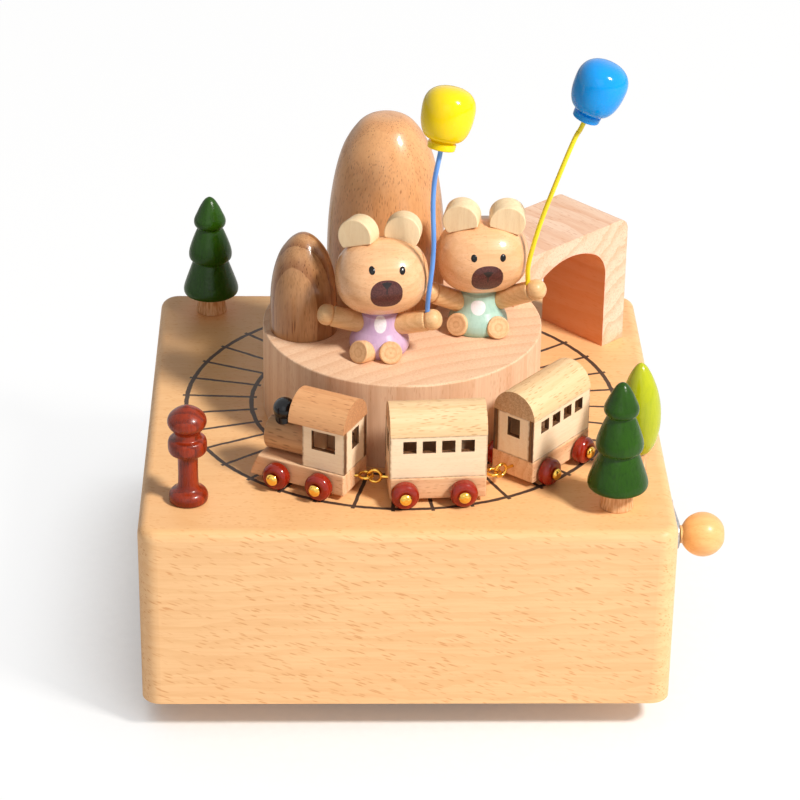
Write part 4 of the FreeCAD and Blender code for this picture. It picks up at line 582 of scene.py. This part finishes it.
def bears_and_balloons():
    """Both bears, and the balloons on their wires."""
    head = tones((246, 196, 148), (222, 160, 108), (170, 104, 58))
    maple = tones((250, 226, 186), (234, 200, 154), (208, 164, 112))
    limb = tones((240, 198, 146), (214, 162, 106), (176, 116, 64))
    sole = tones((244, 202, 154), (206, 150, 100), (150, 92, 48))
    for index, (name, bear) in enumerate(BEARS.items()):
        give(wood(name + "_head_wood", head, "X", turned_by=HEAD_TURN, pith=(6, 60), ring=2.6, rings=0.3,
                  flecks=0.3, fleck_size=(1.2, 0.35), rough=0.28, coat=0.45, coat_rough=0.1,
                  seed=11 + index, extra=(face(bear),)), name + "_head")
        give(wood(name + "_maple", maple, "Z", pith=(6, 20), ring=2.0, rings=0.25, flecks=0.15,
                  fleck_size=(1.6, 0.3), rough=0.45, seed=13 + index), name + "_ears")
        give(wood(name + "_limb_wood", limb, "X", pith=(2, 60), ring=1.3, rings=0.4, flecks=0.3,
                  fleck_size=(1.4, 0.3), rough=0.4, coat=0.15, seed=15 + index), name + "_arms")
        stands = Vector(bear["body"])
        hearts = [(tuple(stands + Vector(start)), way) for start, way in bear["legs"]]
        give(wood(name + "_sole_wood", sole, "Y", hearts=hearts, ring=1.15, rings=0.45, drift=0.45,
                  flecks=0.1, fleck_size=(1.4, 0.3), rough=0.45, seed=18 + index), name + "_legs")
    give(lacquer("lilac_paint", linear(206, 176, 208), linear(170, 134, 182), rough=0.3, coat=0.25,
                 extra=(belly(BEARS["lilac_bear"]),)), "lilac_bear_body")
    give(lacquer("mint_paint", linear(180, 214, 200), linear(136, 180, 164), rough=0.3, coat=0.25,
                 extra=(belly(BEARS["mint_bear"]),)), "mint_bear_body")
    give(lacquer("yellow_gloss", linear(255, 222, 0), linear(248, 202, 0), rough=0.1, coat=0.1, grain=0.12,
                 brush=0.3), "yellow_balloon")
    give(lacquer("blue_gloss", linear(0, 158, 246), linear(0, 124, 222), rough=0.1, coat=0.1, grain=0.12,
                 brush=0.3), "blue_balloon")
    give(lacquer("wire_blue", linear(110, 164, 240), linear(74, 126, 210), rough=0.35, coat=0.2, grain=0.1),
         "yellow_wire")
    give(lacquer("wire_yellow", linear(255, 234, 40), linear(228, 186, 16), rough=0.35, coat=0.2, grain=0.1),
         "blue_wire")


CARS = {"loco": "loco_cab", "coach_1": "coach_1_walls", "coach_2": "coach_2_walls"}
ROOF_END = linear(176, 122, 84)


def car_heading(stem):
    """Bearing of a car in degrees, from the axis its front wheels roll about."""
    axis = next(joint["axis"] for joint in frame["joints"] if joint["name"] == stem + "_front_roll")
    return math.degrees(math.atan2(-axis[0], axis[1]))


def end_grain(heading):
    """The cut ends of a car's roof are darker than its curved top."""
    def change(p, colour, roughness):
        facing = p.mapped(p.add("NewGeometry").outputs["Normal"], turn=(0, 0, -heading))
        ends = p.span(p.math("ABSOLUTE", p.split(facing)[0]), 0.6, 0.9)
        pores = p.noise(p.place, 2.5, 3.0, 0.6)
        dark = p.math("MULTIPLY", ends, p.span(pores, 0.3, 0.7, 0.35, 0.75))
        return p.mix(dark, colour, ROOF_END), roughness
    return change


def train():
    """The three cars. Gives the brass, which the works share."""
    brass = metal("brass", linear(240, 196, 92), linear(190, 134, 44), rough=0.17)
    wheel_red = lacquer("red_gloss", linear(158, 34, 8), linear(96, 14, 3), rough=0.16, coat=0.3)
    chassis_tones = tones((246, 204, 162), (222, 162, 116), (184, 116, 70))
    wall_tones = tones((252, 228, 196), (240, 206, 164), (208, 160, 112))
    coach_roof = tones((246, 214, 168), (230, 186, 134), (196, 140, 88))
    loco_roof = tones((236, 178, 126), (212, 146, 96), (176, 106, 60))
    for index, (stem, walls) in enumerate(CARS.items()):
        heading = car_heading(stem)
        roof_tones = loco_roof if stem == "loco" else coach_roof
        give(wood(stem + "_chassis_wood", chassis_tones, "X", turned_by=heading, pith=(-70, 60), ring=2.2,
                  flecks=0.55, fleck_size=(2.0, 0.45), rough=0.55, seed=31 + index), stem + "_chassis")
        give(wood(stem + "_wall_wood", wall_tones, "X", turned_by=heading, pith=(-70, 40), ring=2.0,
                  rings=0.2, flecks=0.15, fleck_size=(1.6, 0.4), rough=0.5, wear=0.0, seed=35 + index,
                  extra=(burnt_edges(walls, heading),)), walls)
        give(wood(stem + "_roof_wood", roof_tones, "X", turned_by=heading, pith=(-70, 30), ring=2.4,
                  rings=0.4, flecks=0.7, fleck_size=(2.8, 0.4), rough=0.5, seed=39 + index,
                  extra=(end_grain(heading),)), stem + "_roof")
        give(wheel_red, stem + "_front_wheels", stem + "_rear_wheels")
        give(brass, stem + "_fasteners")
    boiler = tones((222, 172, 122), (186, 130, 84), (140, 88, 48))
    give(wood("boiler_wood", boiler, "X", turned_by=car_heading("loco"), ring=1.6, rings=0.55, pores=0.4,
              rough=0.42, coat=0.15), "loco_boiler")
    give(lacquer("black_gloss", linear(10, 12, 18), linear(4, 5, 8), rough=0.16, coat=0.2), "loco_chimney")
    return brass


def works(brass):
    """The knob and the metal pieces of the works."""
    knob = tones((246, 196, 132), (232, 172, 106), (206, 136, 72))
    give(wood("knob_wood", knob, "X", pith=(-26, 34), ring=2.6, rings=0.35, flecks=0.2,
              fleck_size=(1.6, 0.4), rough=0.38, coat=0.2, seed=21), "knob")
    steel = metal("steel", linear(186, 188, 190), linear(130, 132, 136), rough=0.3)
    zinc = metal("cast_zinc", linear(150, 152, 156), linear(110, 112, 118), rough=0.45)
    magnet = metal("magnet", linear(160, 160, 166), linear(110, 110, 116), rough=0.22)
    give(brass, "shaft_bush", "knob_pin", "cylinder", "cylinder_wheel", "spindle_wheel")
    give(steel, "bottom_screws", "crank_shaft", "crank_arm", "comb", "comb_screws", "spindle")
    give(zinc, "movement_bed", "magnet_arm")
    give(magnet, "arm_magnet", "loco_magnet")


def link(name, data):
    """A new object in the scene."""
    thing = bpy.data.objects.new(name, data)
    bpy.context.scene.collection.objects.link(thing)
    return thing


def settled(name, mesh, material):
    """An object on the box from a finished mesh, smooth all over."""
    bmesh.ops.recalc_face_normals(mesh, faces=mesh.faces)
    data = bpy.data.meshes.new(name)
    mesh.to_mesh(data)
    mesh.free()
    data.shade_smooth()
    data.materials.append(material)
    thing = link(name, data)
    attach(thing, "box")
    return thing


def band(mesh, low, high):
    """Faces between two rings of as many points."""
    for i in range(len(low)):
        after = (i + 1) % len(low)
        mesh.faces.new((low[i], low[after], high[after], high[i]))


def cap(mesh, ring, tip):
    """Faces from a ring to a point."""
    for i in range(len(ring)):
        mesh.faces.new((ring[i], ring[(i + 1) % len(ring)], tip))


EYE_RINGS = 5
EYE_STEPS = 24
EYE_SINK = 0.3


def head_surface(x, z):
    """How far forward the head's surface is at a place on its face, in mm."""
    radius = HEAD_RADIUS * (1 - abs(x / HEAD_HALF) ** HEAD_SQUARE) ** (1 / HEAD_SQUARE)
    return -math.sqrt(radius * radius - z * z)


def eye(name, bear, middle, black):
    """A small domed oval on the head, closed behind, just let into the wood."""
    turn = math.radians(HEAD_TURN)
    mesh = bmesh.new()

    def corner(share, angle, rise):
        x = middle[0] + EYE[0] * share * math.cos(angle)
        z = middle[1] + EYE[1] * share * math.sin(angle)
        y = head_surface(x, z) - rise
        spot = Vector((x * math.cos(turn) - y * math.sin(turn), x * math.sin(turn) + y * math.cos(turn), z))
        return mesh.verts.new((spot + Vector(bear["head"])) * MM)

    def circle(share, rise):
        return [corner(share, 2 * math.pi * i / EYE_STEPS, rise) for i in range(EYE_STEPS)]

    circles = []
    for ring in range(EYE_RINGS):
        bow = math.radians(90 * ring / EYE_RINGS)
        circles.append(circle(math.cos(bow), EYE_RISE * math.sin(bow)))
    circles.insert(0, circle(1.0, -EYE_SINK))
    for low, high in zip(circles, circles[1:]):
        band(mesh, low, high)
    cap(mesh, circles[-1], corner(0.0, 0.0, EYE_RISE))
    mesh.faces.new(list(reversed(circles[0])))
    thing = settled(name, mesh, black)


def eyes():
    """The four eyes."""
    black = lacquer("eye_black", linear(6, 5, 6), linear(2, 2, 2), rough=0.12, coat=0.15, grain=0.1,
                    brush=0.2)
    for name, bear in BEARS.items():
        for side, middle in zip(("left", "right"), bear["eyes"]):
            eye(f"{name}_{side}_eye", bear, middle, black)


TURN_STEPS = 72
SHARP = math.radians(50)
PINES = ((-47.1, 50.3), (46.8, -47.5))
PINE_RADIUS = 6.95
# trunk, then three tiers
PINE_OUTLINE = [(0, 0), (0.54, 0), (0.55, 0.01), (0.5, 0.07), (0.48, 0.165),
                (0.84, 0.166), (0.95, 0.17), (0.985, 0.19), (0.975, 0.22), (0.91, 0.266), (0.785, 0.345),
                (0.66, 0.425), (0.6, 0.452), (0.7, 0.464), (0.755, 0.478), (0.772, 0.505), (0.76, 0.535),
                (0.714, 0.575), (0.62, 0.637), (0.5, 0.705), (0.42, 0.737), (0.5, 0.75), (0.555, 0.765),
                (0.572, 0.79), (0.555, 0.815), (0.457, 0.862), (0.35, 0.915), (0.2, 0.972), (0.09, 0.993),
                (0, 1)]
POSTS = ((-49, -45),)
POST_RADIUS = 4.45
# foot, shaft, collar, neck and cap
POST_OUTLINE = [(0, 0), (0.92, 0), (0.99, 0.03), (0.99, 0.075), (0.86, 0.115), (0.64, 0.135), (0.55, 0.16),
                (0.51, 0.2), (0.5, 0.35), (0.51, 0.505), (0.86, 0.51), (0.96, 0.535), (0.985, 0.585),
                (0.975, 0.63), (0.9, 0.662), (0.68, 0.67), (0.655, 0.7), (0.67, 0.735), (0.78, 0.76),
                (0.9, 0.785), (0.985, 0.82), (0.985, 0.85), (0.94, 0.882), (0.8, 0.918), (0.5, 0.962),
                (0.2, 0.987), (0.1, 0.997), (0, 1)]


def rounded(points, rounds=2):
    """An outline with its corners cut so many times, keeping its ends."""
    for _ in range(rounds):
        cut = [points[0]]
        for near, far in zip(points, points[1:]):
            for share in (0.25, 0.75):
                cut.append([a + (b - a) * share for a, b in zip(near, far)])
        points = cut + [points[-1]]
    return points


def turned(name, node, outline, radius, places):
    """Lathe work in place of a node: an outline in shares of a radius and of the node's height."""
    low, high = (corner.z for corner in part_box(node))
    mesh = bmesh.new()

    def corner(middle, reach, level, i):
        angle = 2 * math.pi * i / TURN_STEPS
        across = Vector((math.cos(angle), math.sin(angle), 0)) * reach
        return mesh.verts.new(middle + across + Vector((0, 0, level)))

    for x, y in places:
        middle = Vector((x, y, 0)) * MM
        rings = []
        for share, rise in rounded(outline)[1:-1]:
            reach = share * radius * MM
            level = low + rise * (high - low)
            rings.append([corner(middle, reach, level, i) for i in range(TURN_STEPS)])
        for inner, outer in zip(rings, rings[1:]):
            band(mesh, inner, outer)
        cap(mesh, rings[0], corner(middle, 0, low, 0))
        cap(mesh, rings[-1], corner(middle, 0, high, 0))
    thing = settled(name, mesh, nodes[node].data.materials[0])
    thing.data.set_sharp_from_angle(angle=SHARP)
    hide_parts(node)


FLOOR_REACH = 6.0
FLOOR_TONES = ((0.9, 0.895, 0.89, 1), (0.93, 0.925, 0.92, 1))
FLOOR_GLOW = 1.03
OPEN_REACH = 0.05
OPEN_SAMPLES = 8


def stage_floor():
    """A pale floor that keeps the shadow and is white to the camera where nothing shades it."""
    mesh = bpy.data.meshes.new("floor")
    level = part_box("feet")[0].z
    ends = (-FLOOR_REACH, FLOOR_REACH)
    corners = [(x, y, level) for y in ends for x in (ends if y < 0 else ends[::-1])]
    mesh.from_pydata(corners, [], [(0, 1, 2, 3)])
    floor = link("floor", mesh)
    p = Paint("floor_white")
    grain = p.noise(p.place, 0.4, 3.0)
    p.finish(p.mix(p.span(grain, 0.3, 0.7), *FLOOR_TONES), 0.7)
    white = p.add("Emission")
    white.inputs["Color"].default_value = (1, 1, 1, 1)
    white.inputs["Strength"].default_value = FLOOR_GLOW
    shade = p.add("AmbientOcclusion", samples=OPEN_SAMPLES)
    shade.inputs["Distance"].default_value = OPEN_REACH
    open_air = p.span(shade.outputs["AO"], 0.3, 0.95, 0.1, 0.9)
    seen = p.math("MULTIPLY", p.add("LightPath").outputs["Is Camera Ray"], open_air)
    both = p.add("MixShader")
    p.feed(both.inputs[0], seen)
    p.feed(both.inputs[1], p.shader.outputs["BSDF"])
    p.feed(both.inputs[2], white.outputs[0])
    output = next(node for node in p.tree.nodes if node.type == "OUTPUT_MATERIAL")
    p.feed(output.inputs["Surface"], both.outputs[0])
    mesh.materials.append(p.material)


AIM = Vector((0, 0, 0.045))


def lamp(name, azimuth, elevation, distance, size, power, colour):
    """A square soft lamp aimed at the middle of the object, placed by bearing and height."""
    data = bpy.data.lights.new(name, "AREA")
    data.energy = power
    data.size = size
    data.color = colour
    thing = link(name, data)
    a = math.radians(azimuth)
    e = math.radians(elevation)
    away = Vector((math.sin(a) * math.cos(e), -math.cos(a) * math.cos(e), math.sin(e)))
    thing.location = AIM + away * distance
    thing.rotation_euler = (-away).to_track_quat("-Z", "Y").to_euler()


# colour and strength of the fill, and of what is seen
SKIES = (((1.0, 0.98, 0.96, 1), 0.2), ((1, 1, 1, 1), 1.0))


def daylight():
    """White behind everything that the camera or a reflection sees, and a soft fill on surfaces."""
    world = bpy.data.worlds.new("studio")
    bpy.context.scene.world = world
    world.use_nodes = True
    tree = world.node_tree
    tree.nodes.clear()
    path = tree.nodes.new("ShaderNodeLightPath")
    seen = path.outputs["Is Camera Ray"]
    for ray in ("Is Glossy Ray", "Is Transmission Ray"):
        either = tree.nodes.new("ShaderNodeMath")
        either.operation = "MAXIMUM"
        tree.links.new(seen, either.inputs[0])
        tree.links.new(path.outputs[ray], either.inputs[1])
        seen = either.outputs[0]
    both = tree.nodes.new("ShaderNodeMixShader")
    tree.links.new(seen, both.inputs[0])
    for socket, (colour, strength) in enumerate(SKIES, start=1):
        sky = tree.nodes.new("ShaderNodeBackground")
        sky.inputs["Color"].default_value = colour
        sky.inputs["Strength"].default_value = strength
        tree.links.new(sky.outputs[0], both.inputs[socket])
    output = tree.nodes.new("ShaderNodeOutputWorld")
    tree.links.new(both.outputs[0], output.inputs[0])


LENS = 135.68
FILM_WIDTH = 36
CLIP = (0.05, 20)
STAND = Vector((-18.5, -630.5, 384.1))
AIMED = (61.809, -0.715, -1.232)


def photograph():
    """The camera, where the picture was taken from."""
    data = bpy.data.cameras.new("camera")
    data.lens = LENS
    data.sensor_width = FILM_WIDTH
    data.clip_start, data.clip_end = CLIP
    camera = link("camera", data)
    camera.location = STAND * MM
    camera.rotation_euler = [math.radians(angle) for angle in AIMED]
    bpy.context.scene.camera = camera


box_and_landscape()
bears_and_balloons()
works(train())
eyes()
for node in nodes.values():
    node.data.shade_smooth()
turned("turned_pines", "pine_trees", PINE_OUTLINE, PINE_RADIUS, PINES)
turned("turned_post", "signal_post", POST_OUTLINE, POST_RADIUS, POSTS)
stage_floor()
daylight()
photograph()
lamp("key", azimuth=53, elevation=46, distance=1.3, size=0.2, power=19.0, colour=(1.0, 0.965, 0.92))
lamp("front", azimuth=-12, elevation=28, distance=1.6, size=0.9, power=1.6, colour=(1.0, 0.985, 0.97))
bpy.context.scene.view_settings.view_transform = "Standard"
